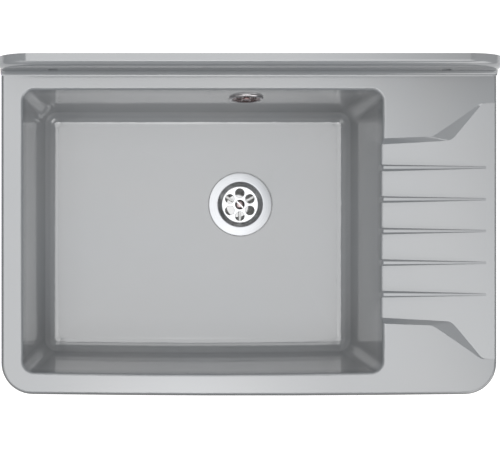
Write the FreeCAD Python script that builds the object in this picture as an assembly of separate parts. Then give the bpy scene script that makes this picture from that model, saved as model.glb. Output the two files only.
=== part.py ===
import FreeCAD, Part
import math
import os

# Kitchen sink with drainboard, cast in one piece, with its waste and overflow fittings.
# Millimetres. X runs to the drainboard, Y to the wall, Z up.
# The origin is on the wall plane, at mid width, level with the flat deck.

Vector = FreeCAD.Vector

# ---------------------------------------------------------------- cast body
SINK_WIDTH = 750.0            # left edge to right edge
SINK_DEPTH = 504.0            # wall plane to the front corners
FRONT_BOW = 3.0               # how far the front edge bulges at mid width
DECK_CORNER_R = 48.0          # front corners in plan
DECK_EDGE_R = 5.0             # rounding of the deck's outer top edge
DECK_THICKNESS = 12.0
SKIRT_DEPTH = 45.0            # deck level to the underside of the skirt
SKIRT_WALL = 10.0
REAR_WALL = 7.0               # skirt along the wall

UPSTAND_HEIGHT = 52.0
UPSTAND_THICKNESS = 17.0
UPSTAND_CORNER_RUN = 58.0     # rounded top corners seen from the front: length along the top
UPSTAND_CORNER_DROP = 38.0    # and height at the sides
UPSTAND_EDGE_R = 8.0          # front top edge
UPSTAND_COVE_R = 7.0          # hollow rounding between upstand and deck

WALL_HOLE_INSET = 81.0        # sink's side to the wall screw hole in the upstand
WALL_HOLE_HEIGHT = 14.0
WALL_HOLE_R = 3.5
WALL_HOLE_HEAD_R = 7.0        # seat for the screw head
WALL_HOLE_HEAD_DEPTH = 5.0

# ---------------------------------------------------------------- bowl
RIM_LEFT = 33.0               # sink's edge to the bowl's wall plane at deck level
RIM_FRONT = 33.0
RIM_REAR = 44.0
DRAINBOARD_WIDTH = 172.5      # sink's right edge to the bowl's right wall plane
BOWL_FRONT_BOW = 2.7
BOWL_RIM_CORNER_R = 17.5      # vertical corners at deck level
BOWL_FLOOR_CORNER_R = 22.0    # and at the floor
BOWL_LIP_R = 4.0              # rounding of the bowl's rim
BOWL_EDGE_DEPTH = 186.0       # deck level to the floor along the walls
FLOOR_FALL = 4.0              # fall of the floor from the walls to the drain
FLOOR_FILLET_MARGIN = 1.0     # the floor fillet is this much tighter than the corners
BOWL_WALL = 10.0
FLOOR_THICKNESS = 10.0        # at the drain
DRAFT_LEFT = 2.0              # wall slopes in degrees
DRAFT_RIGHT = 5.0
DRAFT_REAR = 3.0
DRAFT_FRONT = 3.0

# ---------------------------------------------------------------- drainboard
PANEL_DROP = 10.0             # how far the panel lies below the deck at the bowl
PANEL_TOP_HALF = 139.2        # half width at deck level, beside the bowl
PANEL_FOOT_HALF = 131.0       # half width at the panel, beside the bowl
PANEL_END_HALF = 193.0        # half width at the right edge
PANEL_RUNOUT = 3.0            # sink's right edge to where the panel comes up to deck level
PANEL_TOP_TURN = 106.0        # sink's right edge to where the top line turns outwards
PANEL_FOOT_TURN = 68.0
PANEL_TOP_END = 29.0          # sink's right edge to where the top line has its full width
PANEL_FOOT_END = 22.0
PANEL_FLARE = 6.0             # widening of the straight part up to its turn
PANEL_SPREAD = 1.0            # last widening, up to the right edge
PANEL_TURN_R = 8.0            # top line
PANEL_FOOT_TURN_R = 18.0
PANEL_END_R = 12.0
PANEL_THICKNESS = 12.0

RIB_COUNT = 5
RIB_PITCH = 48.0
RIB_TOP_WIDTH = 4.2
RIB_FOOT_WIDTH = 10.4         # at the bowl end
RIB_END_WIDTH = 2.6           # at the right end, where the rib runs out
RIB_END = 17.0                # sink's right edge to the end of the ribs
RIB_NOSE_R = 3.0              # rounding where the rib meets the bowl
RIB_RUNDOWN = 12.0            # how far the rib's end runs down the bowl wall

BRACE_COUNT = 3               # stiffening webs under the drainboard
BRACE_PITCH = 129.0
BRACE_THICKNESS = 8.0
BRACE_DEPTH = 38.0

# ---------------------------------------------------------------- waste
DRAIN_X = 0.0
DRAIN_Y = -210.0
DRAIN_HOLE_R = 45.0
RECESS_DEPTH = 3.0            # seat of the strainer's flange in the floor
RECESS_CLEARANCE = 1.5
FLANGE_R = 55.0
SHEET = 1.0                   # pressed steel
FLANGE_CROWN = 1.2            # the flange's inner edge stands above its rim
FLANGE_MOUTH_R = 38.0
FLANGE_ROLL_R = 3.0           # rolled edge from the flange into the cup
CUP_DEPTH = 12.0              # floor level to the grid
GRID_R = 30.0
GRID_HOLE_R = 8.0
GRID_HOLE_COUNT = 6
GRID_HOLE_RING_R = 20.2
GRID_SCREW_HOLE_R = 3.3

SCREW_R = 3.0
SCREW_LENGTH = 24.0
SCREW_HEAD_R = 8.6
SCREW_HEAD_HEIGHT = 3.2
SCREW_HEAD_RIM = 1.2
SCREW_SLOT_WIDTH = 1.8
SCREW_SLOT_DEPTH = 1.6
SCREW_SLOT_ANGLE = -45.0

FLANGE_SEAL_THICKNESS = 1.5
FLANGE_SEAL_WIDTH = 9.0
WASTE_SEAL_THICKNESS = 3.0
WASTE_SEAL_WIDTH = 10.0

WASTE_FLANGE_R = 57.0
WASTE_FLANGE_THICKNESS = 5.0
WASTE_WALL = 3.0
WASTE_CHAMBER_R = 43.0        # inside radius of the chamber
WASTE_CHAMBER_DEPTH = 40.0    # from the flange to the start of the funnel
WASTE_FUNNEL_DEPTH = 13.0
WASTE_THREAD_R = 23.9         # 1 1/2 inch outlet thread, outside
WASTE_OUTLET_WALL = 3.4
WASTE_OUTLET_LENGTH = 26.0
WASTE_THREAD_LENGTH = 18.0
WASTE_RELIEF = 0.9            # depth of the run-out groove above the thread
SPIDER_ARMS = 3
SPIDER_ARM_WIDTH = 4.0
SPIDER_BOSS_R = 8.5
SPIDER_DEPTH = 18.0
WASTE_LUG_COUNT = 12          # gripping ribs round the chamber
WASTE_LUG_DEPTH = 2.0
WASTE_LUG_WIDTH = 3.0
WASTE_LUG_HEIGHT = 16.0

INSERT_R = 5.0
INSERT_LENGTH = 12.0

# ---------------------------------------------------------------- overflow
OVERFLOW_X = 0.0
OVERFLOW_Z = -56.0
OVERFLOW_HOLE_R = 21.0
ROSETTE_R = 27.0
ROSETTE_HEIGHT = 3.4
ROSETTE_RIM_WIDTH = 5.0
ROSETTE_DISH = 1.6            # depth of the dished centre below the rim
ROSETTE_HOLE_R = 4.6
ROSETTE_HOLE_COUNT = 6
ROSETTE_HOLE_RING_R = 13.2
ROSETTE_SCREW_HEAD_R = 5.6
ROSETTE_SCREW_R = 2.5
ROSETTE_SCREW_LENGTH = 22.0
ROSETTE_SCREW_HEAD_HEIGHT = 2.2
ROSETTE_SCREW_HEAD_RIM = 0.7
ROSETTE_SCREW_SLOT_WIDTH = 1.4
ROSETTE_SCREW_SLOT_DEPTH = 1.1

GASKET_THICKNESS = 3.0
GASKET_WIDTH = 6.0
HOUSING_FLANGE_R = 28.0
HOUSING_FLANGE_THICKNESS = 3.0
HOUSING_R = 23.5
HOUSING_DEPTH = 24.0          # from the gasket to the back of the housing
HOUSING_WALL = 2.6
HOUSING_EDGE_R = 5.0
HOUSING_BOSS_R = 5.5
HOUSING_WEB_THICKNESS = 2.4   # web on both sides of the screw boss
HOUSING_WEB_DEPTH = 8.0
HOUSING_INSERT_R = 3.6
HOUSING_INSERT_LENGTH = 8.0

# ---------------------------------------------------------------- overflow hose
HOSE_ROOT_R = 8.6             # bottom of the grooves
HOSE_CREST_R = 10.0           # tops of the ribs
HOSE_BORE_R = 7.6
HOSE_CUFF_R = 8.8             # plain ends
HOSE_BEND_R = 72.0
HOSE_RIB_PITCH = 4.4
HOSE_GROOVE_WIDTH = 0.44      # flat bottom of each groove

PORT_BORE_R = 9.2             # both threaded ports that take the hose
PORT_THREAD_R = 12.4
PORT_LENGTH = 14.0
PORT_SEAT = 2.4               # depth of the conical seat in the port's mouth
CONE_LENGTH = 4.0             # part of the seal outside the port
CUFF_IN_PORT = 8.0            # how far the hose reaches into the port
CUFF_PAST_NUT = 6.0
NUT_R = 15.0
NUT_WALL = 2.6
NUT_SKIRT = 11.0              # how far the nut reaches over the port
NUT_CLEAR = 1.5               # nut to the housing's flange above it
NUT_LUG_COUNT = 10
NUT_LUG_R = 2.0
NUT_LUG_PROUD = 0.6
FIT = 0.25                    # clearance between fitted pieces
HOSE_PORT_DROP = 29.0         # sealing face of the waste to the hose's port

SEAL_INSET = 1.0              # edge of a flange to the edge of its seal
EDGE_CHAMFER = 1.0            # on the outlet and the union nuts
TOP_CLEAR = 2.0               # how far a cutting tool reaches past a face
OVERLAP = 1.0                 # how far fused pieces run into each other
TOLERANCE = 0.01              # for finding edges by their place

# ---------------------------------------------------------------- derived places
HALF_WIDTH = SINK_WIDTH / 2
WALL_HOLE_SPACING = SINK_WIDTH - 2 * WALL_HOLE_INSET
BOWL_LEFT = RIM_LEFT - HALF_WIDTH
BOWL_RIGHT = HALF_WIDTH - DRAINBOARD_WIDTH
BOWL_REAR = -RIM_REAR
BOWL_FRONT = RIM_FRONT - SINK_DEPTH
FLOOR_FILLET_R = BOWL_FLOOR_CORNER_R - FLOOR_FILLET_MARGIN
PANEL_CENTRE_Y = (BOWL_REAR + BOWL_FRONT) / 2
PANEL_START_X = BOWL_RIGHT - 4 * BOWL_LIP_R
PANEL_RUNOUT_X = HALF_WIDTH - PANEL_RUNOUT
PANEL_TOP_TURN_X = HALF_WIDTH - PANEL_TOP_TURN
PANEL_FOOT_TURN_X = HALF_WIDTH - PANEL_FOOT_TURN
PANEL_TOP_END_X = HALF_WIDTH - PANEL_TOP_END
PANEL_FOOT_END_X = HALF_WIDTH - PANEL_FOOT_END
RIB_END_X = HALF_WIDTH - RIB_END
FLOOR_LEVEL = -(BOWL_EDGE_DEPTH + FLOOR_FALL)
UNDERSIDE = FLOOR_LEVEL - FLOOR_THICKNESS
PANEL_SLOPE = PANEL_DROP / (PANEL_RUNOUT_X - BOWL_RIGHT)
RECESS_LEVEL = FLOOR_LEVEL - RECESS_DEPTH
GRID_TOP = FLOOR_LEVEL - CUP_DEPTH
WASTE_TOP = UNDERSIDE - WASTE_SEAL_THICKNESS
SPIDER_TOP = GRID_TOP - SHEET
CHAMBER_BOTTOM = WASTE_TOP - WASTE_CHAMBER_DEPTH
OUTLET_TOP = CHAMBER_BOTTOM - WASTE_FUNNEL_DEPTH
OUTLET_BOTTOM = OUTLET_TOP - WASTE_OUTLET_LENGTH
WASTE_PORT_Z = WASTE_TOP - HOSE_PORT_DROP
WASTE_PORT_Y = DRAIN_Y + WASTE_CHAMBER_R + WASTE_WALL + PORT_LENGTH
OVERFLOW_WALL_Y = BOWL_REAR + OVERFLOW_Z * math.tan(math.radians(DRAFT_REAR))
WALL_BACK = -BOWL_WALL * math.cos(math.radians(DRAFT_REAR))
HOUSING_PORT_Y = OVERFLOW_WALL_Y + BOWL_WALL + GASKET_THICKNESS + HOUSING_DEPTH / 2
HOUSING_PORT_Z = OVERFLOW_Z - HOUSING_FLANGE_R - NUT_SKIRT - NUT_CLEAR


# ================================================================ helpers
def slope_at(draft, depth):
    """How far a wall of this draft has come in at this depth."""
    return depth * math.tan(math.radians(draft))


def sag(radius, reach):
    """How far a circle falls away from its tangent at this reach."""
    return radius - math.sqrt(radius ** 2 - reach ** 2)


def panel_level(x):
    """Height of the drainboard panel at x."""
    return -PANEL_SLOPE * (PANEL_RUNOUT_X - x)


def arc(start, middle, end):
    return Part.Arc(Vector(*start), Vector(*middle), Vector(*end)).toShape()


def line(start, end):
    return Part.makeLine(Vector(*start), Vector(*end))


def bowed_front(x0, x1, y_back, y_front, bow, radius, z):
    """Edges from the right side round the bowed front to the left side."""
    centre_x = (x0 + x1) / 2
    half = (x1 - x0) / 2
    bow_r = (half * half + bow * bow) / (2 * bow)
    bow_y = y_front - bow + bow_r
    reach = bow_r - radius
    corner_y = bow_y - math.sqrt(reach ** 2 - (half - radius) ** 2)
    turn = math.atan2(bow_y - corner_y, half - radius)
    middle = turn / 2

    def corner_point(side, angle):
        x = centre_x + side * (half - radius + radius * math.cos(angle))
        return (x, corner_y - radius * math.sin(angle), z)

    low = (centre_x, y_front - bow, z)
    return [
        line((x1, y_back, z), corner_point(1, 0)),
        arc(corner_point(1, 0), corner_point(1, middle), corner_point(1, turn)),
        arc(corner_point(1, turn), low, corner_point(-1, turn)),
        arc(corner_point(-1, turn), corner_point(-1, middle), corner_point(-1, 0)),
        line(corner_point(-1, 0), (x0, y_back, z)),
    ]


def deck_loop(inset, z):
    """The sink's outline, moved inwards on its three free sides."""
    x = HALF_WIDTH - inset
    edges = bowed_front(-x, x, 0, -SINK_DEPTH + inset, FRONT_BOW, DECK_CORNER_R - inset, z)
    edges.append(line((-x, 0, z), (x, 0, z)))
    return Part.Wire(edges)


def bowl_loop(depth, grow, radius):
    """The bowl's section at a depth, with its walls moved outwards by grow and its corners rounded."""
    x0 = BOWL_LEFT + slope_at(DRAFT_LEFT, depth) - grow
    x1 = BOWL_RIGHT - slope_at(DRAFT_RIGHT, depth) + grow
    y_rear = BOWL_REAR - slope_at(DRAFT_REAR, depth) + grow
    y_front = BOWL_FRONT + slope_at(DRAFT_FRONT, depth) - grow
    r = radius
    edges = bowed_front(x0, x1, y_rear - r, y_front, BOWL_FRONT_BOW, r, -depth)
    near = r * (1 - math.sqrt(0.5))
    edges += [
        arc((x0, y_rear - r, -depth), (x0 + near, y_rear - near, -depth), (x0 + r, y_rear, -depth)),
        line((x0 + r, y_rear, -depth), (x1 - r, y_rear, -depth)),
        arc((x1 - r, y_rear, -depth), (x1 - near, y_rear - near, -depth), (x1, y_rear - r, -depth)),
    ]
    return Part.Wire(edges)


def edges_at_level(shape, z):
    """Edges that lie in the horizontal plane z."""
    found = []
    for edge in shape.Edges:
        box = edge.BoundBox
        if abs(box.ZMin - z) < TOLERANCE and abs(box.ZMax - z) < TOLERANCE:
            found.append(edge)
    return found


def ring(outer_r, inner_r, z0, z1, centre=(0, 0)):
    base = Vector(centre[0], centre[1], min(z0, z1))
    height = abs(z1 - z0)
    outer = Part.makeCylinder(outer_r, height, base)
    return outer.cut(Part.makeCylinder(inner_r, height, base))


def turned(points):
    """Solid of revolution about Z from (radius, height) points; a three-point entry is an arc."""
    edges = []
    here = points[0]
    for item in points[1:] + [points[0]]:
        if isinstance(item[0], tuple):
            middle, end = item
            edges.append(arc((here[0], 0, here[1]), (middle[0], 0, middle[1]), (end[0], 0, end[1])))
            here = end
        else:
            edges.append(line((here[0], 0, here[1]), (item[0], 0, item[1])))
            here = item
    return Part.Face(Part.Wire(edges)).revolve(Vector(0, 0, 0), Vector(0, 0, 1), 360)


def around(shape, count, start=0.0):
    """Copies of a shape, evenly spaced about Z."""
    copies = []
    for index in range(count):
        copy = shape.copy()
        copy.rotate(Vector(0, 0, 0), Vector(0, 0, 1), start + 360.0 * index / count)
        copies.append(copy)
    return copies


def at_drain(shape):
    shape.translate(Vector(DRAIN_X, DRAIN_Y, 0))
    return shape


def on_bowl_wall(shape):
    """Move a piece built about Z, with +Z pointing out of the wall into the bowl, to the overflow."""
    shape.rotate(Vector(0, 0, 0), Vector(1, 0, 0), 90 - DRAFT_REAR)
    shape.translate(Vector(OVERFLOW_X, OVERFLOW_WALL_Y, OVERFLOW_Z))
    return shape


# ================================================================ cast body
def deck():
    block = Part.Face(deck_loop(0, 0)).extrude(Vector(0, 0, -SKIRT_DEPTH))
    rim = []
    for edge in edges_at_level(block, 0):
        if edge.BoundBox.YMin < -UPSTAND_THICKNESS:
            rim.append(edge)
    block = block.makeFillet(DECK_EDGE_R, rim)
    hollow_height = SKIRT_DEPTH - DECK_THICKNESS + TOP_CLEAR
    hollow = Part.Face(deck_loop(SKIRT_WALL, -DECK_THICKNESS)).extrude(Vector(0, 0, -hollow_height))
    rear_corner = Vector(-HALF_WIDTH, -REAR_WALL, -SKIRT_DEPTH)
    rear_wall = Part.makeBox(SINK_WIDTH, REAR_WALL, SKIRT_DEPTH, rear_corner)
    return block.cut(hollow.cut(rear_wall))


def top_corner(x, z, start, end):
    """Quarter of an ellipse about (x, z) in the wall plane, between two angles."""
    along = Vector(x + UPSTAND_CORNER_RUN, 0, z)
    up = Vector(x, 0, z + UPSTAND_CORNER_DROP)
    return Part.Ellipse(along, up, Vector(x, 0, z)).toShape(start, end)


def upstand():
    """The low wall along the rear, with rounded top corners and a soft front edge."""
    x = HALF_WIDTH
    top = UPSTAND_HEIGHT
    foot = -DECK_THICKNESS
    turn_x = x - UPSTAND_CORNER_RUN
    turn_z = top - UPSTAND_CORNER_DROP
    outline = Part.Wire([
        line((-x, 0, foot), (-x, 0, turn_z)),
        top_corner(-turn_x, turn_z, math.pi / 2, math.pi),
        line((-turn_x, 0, top), (turn_x, 0, top)),
        top_corner(turn_x, turn_z, 0, math.pi / 2),
        line((x, 0, turn_z), (x, 0, foot)),
        line((x, 0, foot), (-x, 0, foot)),
    ])
    block = Part.Face(outline).extrude(Vector(0, -UPSTAND_THICKNESS, 0))
    front_edges = []
    for edge in block.Edges:
        box = edge.BoundBox
        if box.YMax < -UPSTAND_THICKNESS + TOLERANCE and box.ZMax > foot + TOLERANCE:
            front_edges.append(edge)
    return block.makeFillet(UPSTAND_EDGE_R, front_edges)


def cove():
    """Hollow rounding along the foot of the upstand and round its two ends."""
    r = UPSTAND_COVE_R
    edge_r = UPSTAND_EDGE_R
    near = r * (1 - math.sqrt(0.5))
    foot = -DECK_THICKNESS

    def section(x, y):
        back = y + OVERLAP
        return Part.Face(Part.Wire([
            line((x, back, foot), (x, back, r)),
            line((x, back, r), (x, y, r)),
            arc((x, y, r), (x, y - near, near), (x, y - r, 0)),
            line((x, y - r, 0), (x, y - r, foot)),
            line((x, y - r, foot), (x, back, foot)),
        ]))

    turn_x = HALF_WIDTH - edge_r
    face_y = -UPSTAND_THICKNESS
    run = section(-turn_x, face_y).extrude(Vector(2 * turn_x, 0, 0))
    axis = Vector(0, 0, 1)
    right = section(turn_x, face_y).revolve(Vector(turn_x, face_y + edge_r, 0), axis, 90)
    left = section(-turn_x, face_y).revolve(Vector(-turn_x, face_y + edge_r, 0), axis, -90)
    footprint = Part.Face(deck_loop(0, foot)).extrude(Vector(0, 0, UPSTAND_HEIGHT))
    return run.fuse([right, left]).common(footprint)


def bowl_shell():
    """Outside of the bowl, from the deck down to the flat underside."""
    depth = -UNDERSIDE
    block = Part.makeLoft([
        bowl_loop(OVERLAP, BOWL_WALL, BOWL_RIM_CORNER_R + BOWL_WALL),
        bowl_loop(depth, BOWL_WALL, BOWL_FLOOR_CORNER_R + BOWL_WALL)], True, True)
    return block.makeFillet(FLOOR_FILLET_R + BOWL_WALL, edges_at_level(block, -depth))


def bowl_hollow():
    """Inside of the bowl with its rounded rim, its floor fillet and the four falls to the drain."""
    walls = Part.makeLoft(
        [bowl_loop(0, 0, BOWL_RIM_CORNER_R), bowl_loop(BOWL_EDGE_DEPTH, 0, BOWL_FLOOR_CORNER_R)], True, True)
    grow = 2 * BOWL_LIP_R
    cap = Part.Face(bowl_loop(0, grow, BOWL_RIM_CORNER_R + grow)).extrude(Vector(0, 0, TOP_CLEAR))
    tool = walls.fuse(cap).removeSplitter()
    outer_rim = walls.BoundBox
    outer_rim.enlarge(BOWL_LIP_R)
    rim = [edge for edge in edges_at_level(tool, 0) if outer_rim.isInside(edge.BoundBox)]
    tool = tool.makeFillet(BOWL_LIP_R, rim)
    tool = tool.makeFillet(FLOOR_FILLET_R, edges_at_level(tool, -BOWL_EDGE_DEPTH))
    return tool.fuse(floor_falls())


def rectangle(x0, x1, y0, y1, z):
    return Part.makePolygon([
        Vector(x0, y0, z), Vector(x1, y0, z), Vector(x1, y1, z), Vector(x0, y1, z), Vector(x0, y0, z)])


def floor_falls():
    """Four flat falls from the foot of the walls to the edge of the drain's seat."""
    d = BOWL_EDGE_DEPTH
    r = FLOOR_FILLET_R
    x0 = BOWL_LEFT + slope_at(DRAFT_LEFT, d) + r
    x1 = BOWL_RIGHT - slope_at(DRAFT_RIGHT, d) - r
    y0 = BOWL_FRONT + slope_at(DRAFT_FRONT, d) + r
    y1 = BOWL_REAR - slope_at(DRAFT_REAR, d) - r
    seat = FLANGE_R + RECESS_CLEARANCE + OVERLAP
    low = rectangle(DRAIN_X - seat, DRAIN_X + seat, DRAIN_Y - seat, DRAIN_Y + seat, FLOOR_LEVEL)
    return Part.makeLoft([rectangle(x0, x1, y0, y1, -d), low], True, True)


def panel_line(half, turn_x, end_x, turn_r, level):
    """One long side of the drainboard's edge, as edges from the bowl to the right side, at y > 0."""
    start = (PANEL_START_X, half)
    turn = (turn_x, half + PANEL_FLARE * (turn_x - BOWL_RIGHT) / (PANEL_FOOT_TURN_X - BOWL_RIGHT))
    end = (end_x, PANEL_END_HALF)
    finish = (HALF_WIDTH + TOP_CLEAR, PANEL_END_HALF + PANEL_SPREAD)
    a, b = round_corner(start, turn, end, turn_r)
    c, d = round_corner(turn, end, finish, PANEL_END_R)

    def at(point):
        return (point[0], point[1], level(point[0]))

    return [
        line(at(start), at(a[0])),
        arc(at(a[0]), at(a[1]), at(b)),
        line(at(b), at(c[0])),
        arc(at(c[0]), at(c[1]), at(d)),
        line(at(d), at(finish)),
    ]


def round_corner(before, corner, after, radius):
    """Tangent points and middle point of the arc that rounds a corner of a flat polyline."""
    ux, uy = unit(corner, before)
    vx, vy = unit(corner, after)
    half_angle = math.acos(max(-1.0, min(1.0, ux * vx + uy * vy))) / 2
    reach = radius / math.tan(half_angle)
    start = (corner[0] + ux * reach, corner[1] + uy * reach)
    end = (corner[0] + vx * reach, corner[1] + vy * reach)
    wx, wy = unit((0, 0), (ux + vx, uy + vy))
    depth = radius / math.sin(half_angle) - radius
    middle = (corner[0] + wx * depth, corner[1] + wy * depth)
    return (start, middle), end


def unit(origin, target):
    dx = target[0] - origin[0]
    dy = target[1] - origin[1]
    length = math.hypot(dx, dy)
    return dx / length, dy / length


def panel_loop(half, turn_x, end_x, turn_r, level):
    """Closed outline of the drainboard: both long sides and the lines that join them."""
    upper = panel_line(half, turn_x, end_x, turn_r, level)
    lower = []
    for edge in upper:
        lower.append(edge.mirror(Vector(0, 0, 0), Vector(0, 1, 0)))
    edges = upper + lower
    for x, y in ((PANEL_START_X, half), (HALF_WIDTH + TOP_CLEAR, PANEL_END_HALF + PANEL_SPREAD)):
        edges.append(line((x, y, level(x)), (x, -y, level(x))))
    wire = Part.Wire(Part.__sortEdges__(edges))
    wire.translate(Vector(0, PANEL_CENTRE_Y, 0))
    return wire


def panel_recess():
    """The space above the sunk drainboard, with sloping sides."""
    rise = TOP_CLEAR / 2
    widen = rise * (PANEL_TOP_HALF - PANEL_FOOT_HALF) / PANEL_DROP
    top = panel_loop(PANEL_TOP_HALF + widen, PANEL_TOP_TURN_X, PANEL_TOP_END_X, PANEL_TURN_R, lambda x: rise)
    foot = panel_loop(PANEL_FOOT_HALF, PANEL_FOOT_TURN_X, PANEL_FOOT_END_X, PANEL_FOOT_TURN_R, panel_level)
    return Part.makeLoft([top, foot], True, True)


def panel_underside():
    """Thickening below the drainboard, parallel to it."""
    margin = PANEL_THICKNESS
    x0 = BOWL_RIGHT - BOWL_LIP_R
    x1 = HALF_WIDTH - SKIRT_WALL
    half0 = PANEL_TOP_HALF + margin
    half1 = PANEL_END_HALF + margin
    turn_x = PANEL_TOP_TURN_X
    outline = Part.makePolygon([
        Vector(x0, -half0, 0), Vector(turn_x, -half0, 0), Vector(x1, -half1, 0),
        Vector(x1, half1, 0), Vector(turn_x, half0, 0), Vector(x0, half0, 0), Vector(x0, -half0, 0)])
    block = Part.Face(outline).extrude(Vector(0, 0, -PANEL_DROP - PANEL_THICKNESS - TOP_CLEAR))
    block.translate(Vector(0, PANEL_CENTRE_Y, -DECK_THICKNESS / 2))
    deep = -SKIRT_DEPTH - PANEL_DROP
    left = x0 - TOP_CLEAR
    right = x1 + TOP_CLEAR
    below = Part.Face(Part.makePolygon([
        Vector(left, 0, panel_level(left) - PANEL_THICKNESS),
        Vector(right, 0, panel_level(right) - PANEL_THICKNESS),
        Vector(right, 0, deep), Vector(left, 0, deep),
        Vector(left, 0, panel_level(left) - PANEL_THICKNESS)])).extrude(Vector(0, 4 * half1, 0))
    below.translate(Vector(0, PANEL_CENTRE_Y - 2 * half1, 0))
    return block.cut(below)


def lip_section(y, level):
    """Piece to cut from the bowl's rim beside the drainboard, as a section at y."""
    r = BOWL_LIP_R
    corner_x = BOWL_RIGHT - slope_at(DRAFT_RIGHT, -level)
    slant = slope_at(DRAFT_RIGHT, r)
    on_top = (corner_x + r, y, level)
    on_wall = (corner_x - slant, y, level - r)
    near = r * (1 - math.sqrt(0.5))
    middle = (corner_x + near - slant / 2, y, level - near)
    return Part.Wire([
        arc(on_top, middle, on_wall),
        line(on_wall, (on_wall[0] - r, y, on_wall[2])),
        line((on_wall[0] - r, y, on_wall[2]), (on_wall[0] - r, y, level + r)),
        line((on_wall[0] - r, y, level + r), (on_top[0], y, level + r)),
        line((on_top[0], y, level + r), on_top),
    ])


def panel_lip():
    """Rounding of the bowl's rim where it dips to the drainboard."""
    low = panel_level(BOWL_RIGHT)
    stations = ((-PANEL_TOP_HALF, 0), (-PANEL_FOOT_HALF, low), (PANEL_FOOT_HALF, low), (PANEL_TOP_HALF, 0))
    sections = []
    for y, level in stations:
        sections.append(lip_section(PANEL_CENTRE_Y + y, level))
    return Part.makeLoft(sections, True, True)


def rib_section(x, top_half, foot_half, top, foot):
    return Part.makePolygon([
        Vector(x, -foot_half, foot), Vector(x, foot_half, foot),
        Vector(x, top_half, top), Vector(x, -top_half, top), Vector(x, -foot_half, foot)])


def drain_rib():
    """One rib: level on top, as high as the panel lies low, and run down over the bowl's rim."""
    top = 0.0
    start = BOWL_RIGHT - slope_at(DRAFT_RIGHT, PANEL_DROP)
    flank = (RIB_FOOT_WIDTH - RIB_TOP_WIDTH) / 2 / PANEL_DROP
    top_half = RIB_TOP_WIDTH / 2
    end_half = RIB_END_WIDTH / 2
    sections = []
    for x, half in ((start, top_half), (RIB_END_X, end_half)):
        foot = panel_level(x) - OVERLAP
        sections.append(rib_section(x, half, half - flank * foot, top, foot))
    body = Part.makeLoft(sections, True, True)
    depth = PANEL_DROP + RIB_RUNDOWN
    inside = BOWL_RIGHT + OVERLAP + RIB_NOSE_R
    profile = Part.Face(Part.makePolygon([
        Vector(start, 0, top), Vector(inside, 0, top), Vector(inside, 0, -depth),
        Vector(BOWL_RIGHT - slope_at(DRAFT_RIGHT, depth), 0, -depth), Vector(start, 0, top)]))
    half = top_half + flank * PANEL_DROP
    nose = profile.extrude(Vector(0, 2 * half, 0))
    nose.translate(Vector(0, -half, 0))
    before = start - TOP_CLEAR
    nose_shape = Part.makeLoft([
        rib_section(before, top_half, half, top, -PANEL_DROP),
        rib_section(inside, top_half, half, top, -PANEL_DROP)], True, True)
    tail = Part.makeLoft([
        rib_section(before, half, end_half, -PANEL_DROP, -depth),
        rib_section(inside, half, end_half, -PANEL_DROP, -depth)], True, True)
    nose = nose.common(nose_shape.fuse(tail))
    rib = body.fuse(nose).removeSplitter()
    front = []
    for edge in rib.Edges:
        box = edge.BoundBox
        if box.XMax < start + TOLERANCE and box.ZMin > top - TOLERANCE:
            front.append(edge)
    return rib.makeFillet(RIB_NOSE_R, front)


def braces():
    """Stiffening webs under the drainboard."""
    x0 = BOWL_RIGHT
    x1 = HALF_WIDTH - SKIRT_WALL / 2
    webs = []
    for index in range(BRACE_COUNT):
        y = PANEL_CENTRE_Y + (index - (BRACE_COUNT - 1) / 2) * BRACE_PITCH
        corner = Vector(x0, y - BRACE_THICKNESS / 2, -BRACE_DEPTH)
        height = BRACE_DEPTH - DECK_THICKNESS / 2 - PANEL_DROP
        webs.append(Part.makeBox(x1 - x0, BRACE_THICKNESS, height, corner))
    return webs


def wall_holes():
    """Two screw holes through the upstand, each with a seat for the head."""
    tools = []
    for side in (-1, 1):
        x = side * WALL_HOLE_SPACING / 2
        along = Vector(0, -1, 0)
        seat_y = -UPSTAND_THICKNESS + WALL_HOLE_HEAD_DEPTH
        tools.append(Part.makeCylinder(
            WALL_HOLE_R, UPSTAND_THICKNESS + 2 * TOP_CLEAR, Vector(x, TOP_CLEAR, WALL_HOLE_HEIGHT), along))
        seat_length = WALL_HOLE_HEAD_DEPTH + UPSTAND_COVE_R
        tools.append(Part.makeCylinder(
            WALL_HOLE_HEAD_R, seat_length, Vector(x, seat_y, WALL_HOLE_HEIGHT), along))
    return tools


def drain_openings():
    through = FLOOR_THICKNESS + 2 * TOP_CLEAR
    hole = Part.makeCylinder(DRAIN_HOLE_R, through, Vector(0, 0, UNDERSIDE - TOP_CLEAR))
    seat_r = FLANGE_R + RECESS_CLEARANCE
    seat = Part.makeCylinder(seat_r, RECESS_DEPTH + TOP_CLEAR, Vector(0, 0, RECESS_LEVEL))
    return at_drain(hole.fuse(seat))


def overflow_opening():
    return on_bowl_wall(Part.makeCylinder(
        OVERFLOW_HOLE_R, BOWL_WALL + 2 * TOP_CLEAR, Vector(0, 0, -BOWL_WALL - TOP_CLEAR)))


def sink_body():
    solid = deck().fuse([upstand(), cove(), bowl_shell(), panel_underside()] + braces())
    for hollow in (bowl_hollow(), panel_recess(), panel_lip()):
        solid = solid.cut(hollow)
    ribs = []
    for index in range(RIB_COUNT):
        rib = drain_rib()
        rib.translate(Vector(0, PANEL_CENTRE_Y + (index - (RIB_COUNT - 1) / 2) * RIB_PITCH, 0))
        ribs.append(rib)
    solid = solid.fuse(ribs)
    solid = solid.cut(wall_holes() + [drain_openings(), overflow_opening()])
    return solid.removeSplitter()


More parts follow.
